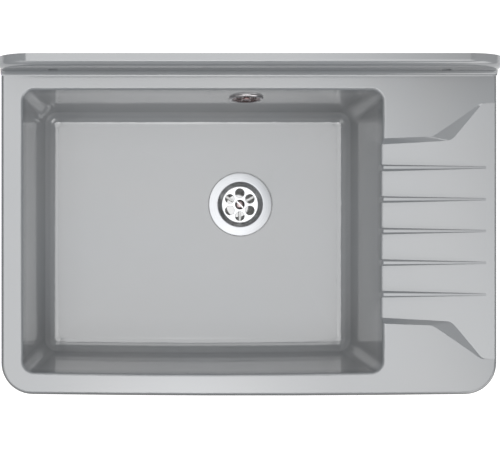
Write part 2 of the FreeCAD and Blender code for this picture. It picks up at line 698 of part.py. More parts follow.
# ================================================================ waste
def strainer_cup():
    """Pressed flange, cup wall and grid in one sheet, with six holes round the screw hole."""
    rim_top = RECESS_LEVEL + FLANGE_SEAL_THICKNESS + SHEET
    crown = rim_top + FLANGE_CROWN
    t = SHEET
    roll = FLANGE_ROLL_R
    mouth = FLANGE_MOUTH_R
    bottom = GRID_TOP
    wall_foot = GRID_R + roll
    half = math.sqrt(0.5)
    cup = turned([
        (0, bottom),
        (GRID_R, bottom),
        ((GRID_R + roll * half, bottom + roll * (1 - half)), (wall_foot, bottom + roll)),
        (mouth, crown - roll),
        ((mouth + roll * (1 - half), crown - roll * (1 - half)), (mouth + roll, crown)),
        (FLANGE_R - t, rim_top),
        ((FLANGE_R - t * (1 - half), rim_top - t * (1 - half)), (FLANGE_R, rim_top - t)),
        (mouth + roll, rim_top - t),
        ((mouth + roll - t * half, rim_top - t - t * (1 - half)), (mouth + t, rim_top - t - t)),
        (wall_foot + t, bottom + roll),
        ((GRID_R + (roll + t) * half, bottom + roll - (roll + t) * half), (GRID_R, bottom - t)),
        (0, bottom - t),
    ])
    hole = Part.makeCylinder(GRID_HOLE_R, 4 * t, Vector(0, GRID_HOLE_RING_R, bottom - 2 * t))
    cup = cup.cut(around(hole, GRID_HOLE_COUNT))
    return at_drain(cup.cut(Part.makeCylinder(GRID_SCREW_HOLE_R, 4 * t, Vector(0, 0, bottom - 2 * t))))


def slotted_screw(head_r, head_height, rim, shank_r, length, slot_width, slot_depth, slot_angle):
    """Screw with a domed slotted head; the head's underside is at z = 0."""
    dome_r = (head_r ** 2 + (head_height - rim) ** 2) / (2 * (head_height - rim))
    lift = dome_r - (head_height - rim)
    mid_r = head_r / 2
    mid_z = rim + math.sqrt(dome_r ** 2 - mid_r ** 2) - lift
    tip = shank_r / 3
    screw = turned([
        (0, -length),
        (shank_r - tip, -length),
        (shank_r, -length + tip),
        (shank_r, 0),
        (head_r, 0),
        (head_r, rim),
        ((mid_r, mid_z), (0, head_height)),
    ])
    slot = Part.makeBox(
        2 * head_r + TOP_CLEAR, slot_width, slot_depth + TOP_CLEAR,
        Vector(-head_r - TOP_CLEAR / 2, -slot_width / 2, head_height - slot_depth))
    slot.rotate(Vector(0, 0, 0), Vector(0, 0, 1), slot_angle)
    return screw.cut(slot)


def strainer_screw():
    screw = slotted_screw(
        SCREW_HEAD_R, SCREW_HEAD_HEIGHT, SCREW_HEAD_RIM, SCREW_R, SCREW_LENGTH,
        SCREW_SLOT_WIDTH, SCREW_SLOT_DEPTH, SCREW_SLOT_ANGLE)
    screw.translate(Vector(0, 0, GRID_TOP))
    return at_drain(screw)


def flange_seal():
    return at_drain(ring(
        FLANGE_R - SHEET, FLANGE_R - SHEET - FLANGE_SEAL_WIDTH,
        RECESS_LEVEL, RECESS_LEVEL + FLANGE_SEAL_THICKNESS))


def waste_seal():
    outer = WASTE_FLANGE_R - SEAL_INSET
    return at_drain(ring(outer, outer - WASTE_SEAL_WIDTH, WASTE_TOP, UNDERSIDE))


def waste_body():
    """Moulded body under the sink: flange, chamber, funnel, outlet thread, spider and hose port."""
    outer = WASTE_CHAMBER_R + WASTE_WALL
    outlet_r = WASTE_THREAD_R - WASTE_RELIEF
    bore = WASTE_THREAD_R - WASTE_OUTLET_WALL
    thread_top = OUTLET_BOTTOM + WASTE_THREAD_LENGTH
    shell = turned([
        (WASTE_CHAMBER_R, WASTE_TOP),
        (WASTE_FLANGE_R, WASTE_TOP),
        (WASTE_FLANGE_R, WASTE_TOP - WASTE_FLANGE_THICKNESS),
        (outer, WASTE_TOP - WASTE_FLANGE_THICKNESS),
        (outer, CHAMBER_BOTTOM),
        (outlet_r, OUTLET_TOP - WASTE_WALL),
        (outlet_r, thread_top),
        (WASTE_THREAD_R, thread_top),
        (WASTE_THREAD_R, OUTLET_BOTTOM + EDGE_CHAMFER),
        (WASTE_THREAD_R - EDGE_CHAMFER, OUTLET_BOTTOM),
        (bore, OUTLET_BOTTOM),
        (bore, OUTLET_TOP),
        (WASTE_CHAMBER_R, CHAMBER_BOTTOM),
    ])
    boss = Part.makeCylinder(SPIDER_BOSS_R, SPIDER_DEPTH, Vector(0, 0, SPIDER_TOP - SPIDER_DEPTH))
    arm = Part.makeBox(
        WASTE_CHAMBER_R + WASTE_WALL / 2, SPIDER_ARM_WIDTH, SPIDER_DEPTH,
        Vector(0, -SPIDER_ARM_WIDTH / 2, SPIDER_TOP - SPIDER_DEPTH))
    chamber_foot = Vector(0, 0, WASTE_TOP - WASTE_CHAMBER_DEPTH)
    below_flange = Part.makeCylinder(outer, WASTE_CHAMBER_DEPTH, chamber_foot)
    arms = []
    for copy in around(arm, SPIDER_ARMS, -90):
        arms.append(copy.common(below_flange))
    lug = Part.makeBox(
        WASTE_LUG_DEPTH + WASTE_WALL / 2, WASTE_LUG_WIDTH, WASTE_LUG_HEIGHT,
        Vector(outer - WASTE_WALL / 2, -WASTE_LUG_WIDTH / 2,
               WASTE_TOP - WASTE_FLANGE_THICKNESS - WASTE_LUG_HEIGHT))
    lugs = []
    for copy in around(lug, WASTE_LUG_COUNT, 180 / WASTE_LUG_COUNT):
        place = copy.BoundBox.Center
        if place.y < 0 or abs(place.x) > PORT_THREAD_R:
            lugs.append(copy)
    port, bore_tool = hose_port(WASTE_WALL)
    for piece in (port, bore_tool):
        piece.rotate(Vector(0, 0, 0), Vector(1, 0, 0), -90)
        piece.translate(Vector(0, WASTE_PORT_Y - DRAIN_Y, WASTE_PORT_Z))
    body = shell.fuse([boss] + arms + lugs + [port])
    insert_hole = Part.makeCylinder(INSERT_R, INSERT_LENGTH, Vector(0, 0, SPIDER_TOP - INSERT_LENGTH))
    screw_hole = Part.makeCylinder(SCREW_R + FIT, SPIDER_DEPTH, Vector(0, 0, SPIDER_TOP - SPIDER_DEPTH))
    return at_drain(body.cut([insert_hole, screw_hole, bore_tool]).removeSplitter())


def threaded_insert(outer_r, bore_r, length):
    """Brass insert with a groove round its middle, its top at z = 0."""
    groove = outer_r / 8
    third = length / 3
    return turned([
        (bore_r, 0),
        (outer_r, 0),
        (outer_r, -third),
        (outer_r - groove, -third),
        (outer_r - groove, -2 * third),
        (outer_r, -2 * third),
        (outer_r, -length),
        (bore_r, -length),
    ])


def strainer_insert():
    insert = threaded_insert(INSERT_R, SCREW_R, INSERT_LENGTH)
    insert.translate(Vector(0, 0, SPIDER_TOP))
    return at_drain(insert)


# ================================================================ hose ports, nuts and seals
# Each is built about Z with the port's mouth at z = 0 and the hose leaving towards +Z.
def hose_port(embed):
    """Threaded spigot with a conical seat in its mouth, and the tool that bores it."""
    length = PORT_LENGTH + embed
    spigot = Part.makeCylinder(PORT_THREAD_R, length, Vector(0, 0, -length))
    bore = Part.makeCylinder(PORT_BORE_R, length + TOP_CLEAR, Vector(0, 0, -length))
    cone = Part.makeCone(PORT_BORE_R, PORT_BORE_R + PORT_SEAT, PORT_SEAT, Vector(0, 0, -PORT_SEAT))
    return spigot, bore.fuse(cone)


def cone_seal():
    return turned([
        (HOSE_CUFF_R, -PORT_SEAT),
        (PORT_BORE_R, -PORT_SEAT),
        (PORT_BORE_R + PORT_SEAT, 0),
        (PORT_BORE_R + PORT_SEAT, CONE_LENGTH),
        (HOSE_CUFF_R, CONE_LENGTH),
    ])


def hose_nut():
    """Union nut with rounded gripping lugs."""
    inner = PORT_THREAD_R + FIT
    top = CONE_LENGTH + NUT_WALL
    nut = turned([
        (HOSE_CUFF_R + FIT, CONE_LENGTH),
        (inner, CONE_LENGTH),
        (inner, -NUT_SKIRT),
        (NUT_R, -NUT_SKIRT),
        (NUT_R, top - EDGE_CHAMFER),
        (NUT_R - EDGE_CHAMFER, top),
        (HOSE_CUFF_R + FIT, top),
    ])
    lug = Part.makeCylinder(
        NUT_LUG_R, top + NUT_SKIRT - 2 * EDGE_CHAMFER,
        Vector(NUT_R + NUT_LUG_PROUD - NUT_LUG_R, 0, EDGE_CHAMFER - NUT_SKIRT))
    thread_bore = Part.makeCylinder(inner, NUT_SKIRT + CONE_LENGTH, Vector(0, 0, -NUT_SKIRT))
    return nut.fuse(around(lug, NUT_LUG_COUNT)).cut(thread_bore).removeSplitter()


def to_waste_port(shape):
    shape.rotate(Vector(0, 0, 0), Vector(1, 0, 0), -90)
    shape.translate(Vector(DRAIN_X, WASTE_PORT_Y, WASTE_PORT_Z))
    return shape


def to_housing_port(shape):
    shape.rotate(Vector(0, 0, 0), Vector(1, 0, 0), 180)
    shape.translate(Vector(OVERFLOW_X, HOUSING_PORT_Y, HOUSING_PORT_Z))
    return shape


def hose_route():
    """Down from the housing, one wide bend under the bowl, and level to the waste."""
    start = (HOUSING_PORT_Y, HOUSING_PORT_Z + CUFF_IN_PORT)
    end = (WASTE_PORT_Y - CUFF_IN_PORT, WASTE_PORT_Z)
    down = start[1] - (end[1] + HOSE_BEND_R)
    along = (start[0] - HOSE_BEND_R) - end[0]
    return start, end, down, along


def hose_point(distance):
    """Place on the route and the direction of travel, in the plane of y and z."""
    start, end, down, along = hose_route()
    turn = math.pi / 2 * HOSE_BEND_R
    centre = (start[0] - HOSE_BEND_R, end[1] + HOSE_BEND_R)
    if distance < down:
        return start[0], start[1] - distance, 0.0
    if distance < down + turn:
        angle = (distance - down) / HOSE_BEND_R
        return centre[0] + HOSE_BEND_R * math.cos(angle), centre[1] - HOSE_BEND_R * math.sin(angle), angle
    return centre[0] - (distance - down - turn), end[1], math.pi / 2


def hose_circle(distance, radius):
    """A circle round the route; its own X axis always lies along the frame's X."""
    y, z, angle = hose_point(distance)
    forward = Vector(0, -math.sin(angle), -math.cos(angle))
    side = forward.cross(Vector(1, 0, 0))
    placement = FreeCAD.Placement(
        FreeCAD.Matrix(1, side.x, forward.x, OVERFLOW_X, 0, side.y, forward.y, y, 0, side.z, forward.z, z))
    circle = Part.makeCircle(radius)
    circle.Placement = placement
    return Part.Wire([circle])


def overflow_hose():
    """Ribbed hose between the overflow housing and the waste, with plain cuffs and its bore."""
    down, along = hose_route()[2:]
    length = down + math.pi / 2 * HOSE_BEND_R + along
    cuff = CUFF_IN_PORT + CONE_LENGTH + NUT_WALL + CUFF_PAST_NUT
    count = int((length - 2 * cuff) / HOSE_RIB_PITCH)
    pitch = (length - 2 * cuff) / count
    quarter = pitch / 4
    groove = HOSE_GROOVE_WIDTH / 2
    outer = [hose_circle(0, HOSE_CUFF_R), hose_circle(cuff, HOSE_CUFF_R)]
    inner = [hose_circle(0, HOSE_BORE_R)]
    for index in range(count):
        here = cuff + index * pitch
        outer.append(hose_circle(here + groove, HOSE_ROOT_R))
        outer.append(hose_circle(here + quarter, HOSE_CREST_R))
        outer.append(hose_circle(here + 3 * quarter, HOSE_CREST_R))
        outer.append(hose_circle(here + pitch - groove, HOSE_ROOT_R))
        inner.append(hose_circle(here + 2 * quarter, HOSE_BORE_R))
    outer += [hose_circle(length - cuff, HOSE_CUFF_R), hose_circle(length, HOSE_CUFF_R)]
    inner.append(hose_circle(length, HOSE_BORE_R))
    print("hose: length", round(length), "ribs", count, "straight ends", round(down), round(along))
    return Part.makeLoft(outer, True, True).cut(Part.makeLoft(inner, True, True))


# ================================================================ overflow fittings
# Built about Z with the bowl's inner wall face at z = 0 and +Z pointing into the bowl.
def overflow_rosette():
    """Pressed cover with a rolled rim and a dished centre with six holes."""
    t = SHEET
    top = ROSETTE_HEIGHT
    rim_in = ROSETTE_R - ROSETTE_RIM_WIDTH
    dish = top - ROSETTE_DISH
    half = math.sqrt(0.5)
    bend = ROSETTE_RIM_WIDTH / 2
    mid = ROSETTE_R - bend
    crown_r = (bend ** 2 + (t / 2) ** 2) / t
    cover = turned([
        (0, dish),
        (rim_in - ROSETTE_DISH, dish),
        (rim_in, top - t / 2),
        ((mid - bend / 2, top - sag(crown_r, bend / 2)), (mid, top)),
        ((mid + bend * half, top - bend * (1 - half)), (ROSETTE_R, 0)),
        (ROSETTE_R - t, 0),
        ((mid + (bend - t) * half, top - t - (bend - t) * (1 - half)), (mid, top - t)),
        (rim_in + t / 2, top - t - t / 2),
        (rim_in - ROSETTE_DISH, dish - t),
        (0, dish - t),
    ])
    hole = Part.makeCylinder(ROSETTE_HOLE_R, 4 * t, Vector(0, ROSETTE_HOLE_RING_R, dish - 2 * t))
    cover = cover.cut(around(hole, ROSETTE_HOLE_COUNT))
    screw_hole = Part.makeCylinder(ROSETTE_SCREW_R + FIT, 4 * t, Vector(0, 0, dish - 2 * t))
    return on_bowl_wall(cover.cut(screw_hole))


def overflow_screw():
    screw = slotted_screw(
        ROSETTE_SCREW_HEAD_R, ROSETTE_SCREW_HEAD_HEIGHT, ROSETTE_SCREW_HEAD_RIM, ROSETTE_SCREW_R,
        ROSETTE_SCREW_LENGTH, ROSETTE_SCREW_SLOT_WIDTH, ROSETTE_SCREW_SLOT_DEPTH, 90)
    screw.translate(Vector(0, 0, ROSETTE_HEIGHT - ROSETTE_DISH))
    return on_bowl_wall(screw)


def overflow_gasket():
    outer = HOUSING_FLANGE_R - SEAL_INSET
    return on_bowl_wall(ring(outer, outer - GASKET_WIDTH, WALL_BACK - GASKET_THICKNESS, WALL_BACK))


def overflow_housing():
    """Moulded elbow behind the bowl: flange, cup, screw boss and a threaded port pointing down."""
    face = WALL_BACK - GASKET_THICKNESS
    back = face - HOUSING_DEPTH
    r = HOUSING_EDGE_R
    near = r * (1 - math.sqrt(0.5))
    inner = HOUSING_R - HOUSING_WALL
    shell = turned([
        (inner, face),
        (HOUSING_FLANGE_R, face),
        (HOUSING_FLANGE_R, face - HOUSING_FLANGE_THICKNESS),
        (HOUSING_R, face - HOUSING_FLANGE_THICKNESS),
        (HOUSING_R, back + r),
        ((HOUSING_R - near, back + near), (HOUSING_R - r, back)),
        (0, back),
        (0, back + HOUSING_WALL),
        (inner, back + HOUSING_WALL),
    ])
    boss = Part.makeCylinder(HOUSING_BOSS_R, HOUSING_DEPTH, Vector(0, 0, back))
    web = Part.makeBox(
        2 * inner, HOUSING_WEB_THICKNESS, HOUSING_WEB_DEPTH, Vector(-inner, -HOUSING_WEB_THICKNESS / 2, back))
    insert_end = Vector(0, 0, face - HOUSING_INSERT_LENGTH)
    insert_hole = Part.makeCylinder(HOUSING_INSERT_R, HOUSING_INSERT_LENGTH, insert_end)
    screw_hole = Part.makeCylinder(
        ROSETTE_SCREW_R + FIT, HOUSING_DEPTH - 2 * HOUSING_WALL, Vector(0, 0, back + 2 * HOUSING_WALL))
    body = on_bowl_wall(shell.fuse([boss, web]))
    tools = on_bowl_wall(insert_hole.fuse(screw_hole))
    port, bore = hose_port(HOUSING_FLANGE_R - PORT_LENGTH + NUT_SKIRT - HOUSING_BOSS_R)
    room = Part.makeCylinder(inner, HOUSING_DEPTH - HOUSING_WALL, Vector(0, 0, back + HOUSING_WALL))
    ahead = Part.makeCylinder(2 * HOUSING_FLANGE_R, BOWL_WALL + GASKET_THICKNESS, Vector(0, 0, face))
    port = to_housing_port(port).cut(on_bowl_wall(room.fuse(ahead)))
    return body.fuse(port).cut([tools, to_housing_port(bore)]).removeSplitter()


def overflow_insert():
    insert = threaded_insert(HOUSING_INSERT_R, ROSETTE_SCREW_R, HOUSING_INSERT_LENGTH)
    insert.translate(Vector(0, 0, WALL_BACK - GASKET_THICKNESS))
    return on_bowl_wall(insert)


# ================================================================ export
def save(name, shape):
    shape.exportStep("parts/" + name + ".step")
    box = shape.BoundBox
    volume = round(shape.Volume / 1000, 2)
    print(name, "solids", len(shape.Solids), "valid", shape.isValid(), "volume", volume, "box",
          [round(v, 1) for v in (box.XMin, box.YMin, box.ZMin, box.XMax, box.YMax, box.ZMax)])


os.makedirs("parts", exist_ok=True)
save("sink_body", sink_body())
save("strainer_cup", strainer_cup())
save("strainer_screw", strainer_screw())
save("flange_seal", flange_seal())
save("waste_seal", waste_seal())
save("waste_body", waste_body())
save("strainer_insert", strainer_insert())
save("overflow_rosette", overflow_rosette())
save("overflow_screw", overflow_screw())
save("overflow_gasket", overflow_gasket())
save("overflow_housing", overflow_housing())
save("overflow_insert", overflow_insert())
save("housing_cone_seal", to_housing_port(cone_seal()))
save("housing_hose_nut", to_housing_port(hose_nut()))
save("waste_cone_seal", to_waste_port(cone_seal()))
save("waste_hose_nut", to_waste_port(hose_nut()))
save("overflow_hose", overflow_hose())
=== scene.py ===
# %% [markdown]
# # Kitchen sink with a drainboard
# The real sink is one casting of grey stone-filled resin with a glossy gel skin. It hangs on the wall
# by its low upstand and rests on a cabinet. A pressed steel strainer, a round overflow cover and the
# plastic waste with its ribbed hose are the only other pieces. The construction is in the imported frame,
# so this notebook dresses it: it measures the frame, gives each piece its finish, cuts the threads that
# the solids leave plain, and sets up the studio.

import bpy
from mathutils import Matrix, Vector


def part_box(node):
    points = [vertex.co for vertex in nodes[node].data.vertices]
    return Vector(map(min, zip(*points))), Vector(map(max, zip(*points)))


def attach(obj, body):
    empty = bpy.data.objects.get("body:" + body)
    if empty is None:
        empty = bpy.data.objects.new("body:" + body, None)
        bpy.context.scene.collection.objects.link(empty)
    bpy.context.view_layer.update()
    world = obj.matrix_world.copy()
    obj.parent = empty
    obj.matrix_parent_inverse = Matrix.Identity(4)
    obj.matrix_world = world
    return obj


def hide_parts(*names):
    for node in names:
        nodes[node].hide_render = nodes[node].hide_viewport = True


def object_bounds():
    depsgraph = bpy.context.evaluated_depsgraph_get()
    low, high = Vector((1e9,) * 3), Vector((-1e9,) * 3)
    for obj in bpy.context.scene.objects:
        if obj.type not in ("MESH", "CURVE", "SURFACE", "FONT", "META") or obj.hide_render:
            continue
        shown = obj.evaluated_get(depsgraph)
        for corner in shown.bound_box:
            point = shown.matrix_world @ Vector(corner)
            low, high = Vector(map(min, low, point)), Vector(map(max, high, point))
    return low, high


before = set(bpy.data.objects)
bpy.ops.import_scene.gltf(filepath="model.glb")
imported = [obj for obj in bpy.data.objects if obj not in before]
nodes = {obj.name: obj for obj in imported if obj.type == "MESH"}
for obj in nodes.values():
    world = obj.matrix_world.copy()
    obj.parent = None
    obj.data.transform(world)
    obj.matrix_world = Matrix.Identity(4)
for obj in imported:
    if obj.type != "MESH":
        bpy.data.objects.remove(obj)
cad_box = [list(corner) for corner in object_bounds()]

import math

import bmesh
import bpy
import numpy as np
from mathutils import Vector

print("nodes:", len(nodes), "box:", cad_box)

# %% [markdown]
# ## Measures
# Every place below comes from the frame: the box of a node gives its centre, its rim and its ends. The
# few values that a box can't give, such as the thickness of a wall, are named here in metres.

# %% Places read from the frame
MM = 0.001
sink_low, sink_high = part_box("sink_body")
HALF_WIDTH = sink_high.x
DECK_CORNER_R = 48 * MM
FRONT_BOW = 3 * MM
EDGE_ROOM = 1.5 * MM          # how far from an outside face still counts as that face

BOWL_LEFT = -342 * MM
BOWL_RIGHT = 202.5 * MM
BOWL_REAR = -44 * MM
BOWL_FRONT = -471 * MM
BOWL_DRAFTS = {"left": 2.0, "right": 5.0, "rear": 3.0, "front": 3.0}
BOWL_BOW = 3 * MM


def centre_of(node):
    """Middle of a node's box."""
    low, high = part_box(node)
    return (low + high) / 2


drain = centre_of("strainer_cup")
overflow = centre_of("overflow_rosette")
OVERFLOW_TILT = math.radians(90 - BOWL_DRAFTS["rear"])
DRAIN_X, DRAIN_Y = drain.x / MM, drain.y / MM
print("drain at", [round(v, 4) for v in drain], "overflow at", [round(v, 4) for v in overflow])

# %% [markdown]
# ## Working with node trees
# A material is a small graph. Helpers keep the graphs readable: they add a node and set its values,
# give the result of a sum or a blend, open a new material with its shader, and place a shared node
# group. Effects that more than one finish uses are groups with named sockets, built once.

# %% Helpers for node trees
def add(tree, kind, inputs=None, **settings):
    """Add a node; settings are its own options, inputs are values or sockets to link from."""
    node = tree.nodes.new(kind)
    for name, value in settings.items():
        setattr(node, name, value)
    for name, value in (inputs or {}).items():
        if isinstance(value, bpy.types.NodeSocket):
            tree.links.new(value, node.inputs[name])
        else:
            node.inputs[name].default_value = value
    return node


def maths(tree, operation, *values, **settings):
    """Result of a Math node; each value is a number or a socket."""
    node = add(tree, "ShaderNodeMath", dict(enumerate(values)), operation=operation, **settings)
    return node.outputs[0]


def vector_maths(tree, operation, *values):
    """Result of a Vector Math node: a number for a length, distance or dot product, else a vector."""
    node = add(tree, "ShaderNodeVectorMath", dict(enumerate(values)), operation=operation)
    return node.outputs["Value" if operation in ("LENGTH", "DISTANCE", "DOT_PRODUCT") else "Vector"]


def scaled(tree, colour, factor):
    """A colour or vector times a number."""
    return add(tree, "ShaderNodeVectorMath", {0: colour, "Scale": factor}, operation="SCALE").outputs[0]


def rising(tree, value, ends, results=(0.0, 1.0), kind="LINEAR"):
    """The first result up to the first end, the second from the second end on, and even between."""
    return add(tree, "ShaderNodeMapRange", {
        "Value": value, "From Min": ends[0], "From Max": ends[1],
        "To Min": results[0], "To Max": results[1]}, interpolation_type=kind).outputs[0]


def blend(tree, share, first, second):
    """The first colour where share is 0 and the second where it is 1."""
    return add(tree, "ShaderNodeMix", {0: share, 6: first, 7: second}, data_type="RGBA").outputs[2]


def link_to(tree, node, **values):
    """Link each value to the node's input of that name."""
    for name, value in values.items():
        tree.links.new(value, node.inputs[name.replace("_", " ")])


def new_group(name, inputs, outputs):
    """A shader node group with these sockets; returns its tree, its input node and its output node."""
    tree = bpy.data.node_groups.new(name, "ShaderNodeTree")
    for socket, kind, value in inputs:
        made = tree.interface.new_socket(socket, in_out="INPUT", socket_type=kind)
        if value is not None:
            made.default_value = value
    for socket, kind in outputs:
        tree.interface.new_socket(socket, in_out="OUTPUT", socket_type=kind)
    return tree, tree.nodes.new("NodeGroupInput"), tree.nodes.new("NodeGroupOutput")


def use(tree, group, **inputs):
    """Place a shared group in a material and set or link its inputs."""
    node = tree.nodes.new("ShaderNodeGroup")
    node.node_tree = group
    for name, value in inputs.items():
        socket = node.inputs[name.replace("_", " ")]
        if isinstance(value, bpy.types.NodeSocket):
            tree.links.new(value, socket)
        else:
            socket.default_value = value
    return node


def new_material(name, **constants):
    """A material with one Principled shader; constants are set on the shader's own sockets."""
    material = bpy.data.materials.new(name)
    material.use_nodes = True
    tree = material.node_tree
    shader = tree.nodes["Principled BSDF"]
    for socket, value in constants.items():
        shader.inputs[socket.replace("_", " ")].default_value = value
    return material, tree, shader


def grey(value, tint=0.0):
    """A grey of this linear value, a little bluer for a positive tint."""
    return (value * (1 - tint), value, value * (1 + tint), 1.0)


# %% [markdown]
# ## Shared effects
# Cast resin is never one flat grey: its filler drifts in slow clouds. Every moulded or polished skin
# also has a fine unevenness that breaks up its reflections, and every turned or pressed round piece
# carries rings about its own axis. Each effect is a noise that is read in the part's own coordinates,
# so it stays put from every side.

# %% Group: slow clouds in a colour
def make_clouds():
    """Colour times (1 + amount x (noise - 1/2)), with the noise stretched over tens of millimetres. A
    slower noise warms or cools it by up to half of Warmth."""
    tree, given, made = new_group(
        "slow_clouds",
        [("Color", "NodeSocketColor", (0.5, 0.5, 0.5, 1.0)), ("Scale", "NodeSocketFloat", 12.0),
         ("Amount", "NodeSocketFloat", 0.1), ("Warmth", "NodeSocketFloat", 0.02)],
        [("Color", "NodeSocketColor")])
    place = add(tree, "ShaderNodeTexCoord").outputs["Object"]
    noise = add(tree, "ShaderNodeTexNoise", {
        "Vector": place, "Scale": given.outputs["Scale"], "Detail": 3.0, "Roughness": 0.45})
    slow = add(tree, "ShaderNodeTexNoise", {
        "Vector": place, "Scale": 5.0, "Detail": 1.0, "Distortion": 0.6})
    centred = maths(tree, "SUBTRACT", noise.outputs["Fac"], 0.5)
    strength = maths(tree, "MULTIPLY_ADD", centred, given.outputs["Amount"], 1.0)
    swing = maths(tree, "SUBTRACT", slow.outputs["Fac"], 0.5)
    warm = maths(tree, "MULTIPLY", swing, given.outputs["Warmth"])
    tint = add(tree, "ShaderNodeCombineXYZ", {
        "X": maths(tree, "ADD", warm, 1.0), "Y": 1.0, "Z": maths(tree, "SUBTRACT", 1.0, warm)})
    shaded = scaled(tree, given.outputs["Color"], strength)
    link_to(tree, made, Color=vector_maths(tree, "MULTIPLY", shaded, tint.outputs[0]))
    return tree


slow_clouds = make_clouds()
print("group", slow_clouds.name)


# %% Group: the fine skin of a moulding or casting
BROAD_SHARE = 0.08             # density of the broad noise as a share of the fine one's


def make_fine_skin():
    """Two noises, one much finer: their sum is a height, and the broad one gives the roughness."""
    tree, given, made = new_group(
        "fine_skin",
        [("Scale", "NodeSocketFloat", 400.0), ("Roughness", "NodeSocketFloat", 0.3),
         ("Spread", "NodeSocketFloat", 0.1)],
        [("Height", "NodeSocketFloat"), ("Roughness", "NodeSocketFloat")])
    place = add(tree, "ShaderNodeTexCoord").outputs["Object"]
    fine = add(tree, "ShaderNodeTexNoise", {
        "Vector": place, "Scale": given.outputs["Scale"], "Detail": 2.0}).outputs["Fac"]
    broad = add(tree, "ShaderNodeTexNoise", {
        "Vector": place, "Scale": maths(tree, "MULTIPLY", given.outputs["Scale"], BROAD_SHARE),
        "Detail": 4.0}).outputs["Fac"]
    rough = maths(tree, "MULTIPLY_ADD", maths(tree, "SUBTRACT", broad, 0.5), given.outputs["Spread"],
                  given.outputs["Roughness"], use_clamp=True)
    link_to(tree, made, Height=maths(tree, "ADD", fine, broad), Roughness=rough)
    return tree


fine_skin = make_fine_skin()
print("group", fine_skin.name)


# %% Group: a place about a round piece's axis
def make_axis_place():
    """Object coordinates less the piece's centre, turned so that its axis is Z; Radius is
    sqrt(x^2 + y^2)."""
    tree, given, made = new_group(
        "axis_place",
        [("Centre", "NodeSocketVector", (0.0, 0.0, 0.0)),
         ("Tilt", "NodeSocketVector", (0.0, 0.0, 0.0))],
        [("Vector", "NodeSocketVector"), ("Radius", "NodeSocketFloat")])
    place = add(tree, "ShaderNodeTexCoord").outputs["Object"]
    moved = vector_maths(tree, "SUBTRACT", place, given.outputs["Centre"])
    turned = add(tree, "ShaderNodeVectorRotate", {
        "Vector": moved, "Rotation": given.outputs["Tilt"]}, rotation_type="EULER_XYZ").outputs[0]
    flat = vector_maths(tree, "MULTIPLY", turned, (1.0, 1.0, 0.0))
    link_to(tree, made, Vector=turned, Radius=vector_maths(tree, "LENGTH", flat))
    return tree


axis_place = make_axis_place()
print("group", axis_place.name)


# %% Group: polishing rings
def make_turning_rings():
    """Noise of radius less height alone, so the marks are circles about the axis. It gives a height, a
    roughness and a shade, which darkens the grooves by up to half of Streaks."""
    tree, given, made = new_group(
        "turning_rings",
        [("Centre", "NodeSocketVector", (0.0, 0.0, 0.0)), ("Tilt", "NodeSocketVector", (0.0, 0.0, 0.0)),
         ("Density", "NodeSocketFloat", 900.0), ("Roughness", "NodeSocketFloat", 0.15),
         ("Spread", "NodeSocketFloat", 0.1), ("Streaks", "NodeSocketFloat", 0.2)],
        [("Height", "NodeSocketFloat"), ("Roughness", "NodeSocketFloat"), ("Shade", "NodeSocketFloat")])
    spot = use(tree, axis_place, Centre=given.outputs["Centre"], Tilt=given.outputs["Tilt"])
    axes = add(tree, "ShaderNodeSeparateXYZ", {0: spot.outputs["Vector"]})
    along = maths(tree, "SUBTRACT", spot.outputs["Radius"], axes.outputs["Z"])
    rings = add(tree, "ShaderNodeTexNoise", {
        "W": along, "Scale": given.outputs["Density"], "Detail": 3.0, "Roughness": 0.7},
        noise_dimensions="1D").outputs["Fac"]
    centred = maths(tree, "SUBTRACT", rings, 0.5)
    rough = maths(tree, "MULTIPLY_ADD", centred, given.outputs["Spread"], given.outputs["Roughness"],
                  use_clamp=True)
    link_to(tree, made, Height=rings, Roughness=rough,
            Shade=maths(tree, "MULTIPLY_ADD", centred, given.outputs["Streaks"], 1.0))
    return tree


turning_rings = make_turning_rings()
print("group", turning_rings.name)

# %% [markdown]
# ## The gel skin
# A cast sink is sprayed into the mould as a smooth gel before the filled resin goes in, so what shows
# is a hard, glossy skin over a middle grey. The light tone of its level surfaces is partly the
# reflection of the studio light above: so the grey itself stays in the middle, the roughness is low,
# and the refractive index is a little above that of plain resin. Two greys are painted light and
# shade, with no known cause in the material: the bowl's steep walls are made paler as painted light
# and the rounding of the outer edge is made darker as painted shade, so that both come near the
# photograph under these lights. The other side of the casting never touched the mould. Where a point
# lies tells these apart, so one material does them all.

# %% Finish: gel skin in front, poured resin behind
STONE_GREY = 0.262             # skin on the level faces
PAINTED_LIGHT_WALL_GREY = 0.38               # painted light, fitted on the bowl's walls
PAINTED_SHADE_EDGE_GREY = 0.08               # painted shade, fitted on the rounding of the outer edge
RAW_GREY = 0.27                # stone of the other side
STONE_IOR = 1.7
GEL_RELIEF = 0.015             # share of the raw side's relief that the gel skin keeps
BOWL_PLANES = {                # outward direction of each bowl wall, and a point on it at deck level
    "left": ((-1, 0), BOWL_LEFT), "right": ((1, 0), BOWL_RIGHT),
    "front": ((0, -1), BOWL_FRONT - BOWL_BOW), "rear": ((0, 1), BOWL_REAR)}
HALF_WALL = 5 * MM             # half the thickness of the bowl's walls
BOWL_CORNER_R = 20 * MM
FLOOR_MIDDLE = -195 * MM       # inside the thickness of the bowl's floor
BELOW_PANEL = -30 * MM         # lower than any face of the deck and the drainboard that faces up
ABOVE_DECK = 0.3 * MM
EDGE_DROP = 6 * MM             # how far down and in from the outer edge the painted shade reaches
FACES_UP = 0.15                # height of the normal, above which a face counts as facing up
WALL_TURN = (0.97, 0.4)        # heights of the normal, from the floor to the wall's painted light
EDGE_TURN = (0.99, 0.8)        # and from the deck to its rounded outer edge's painted shade
WALL_FADE = (-3 * MM, -30 * MM)  # levels from the rim to where the wall's painted light is full
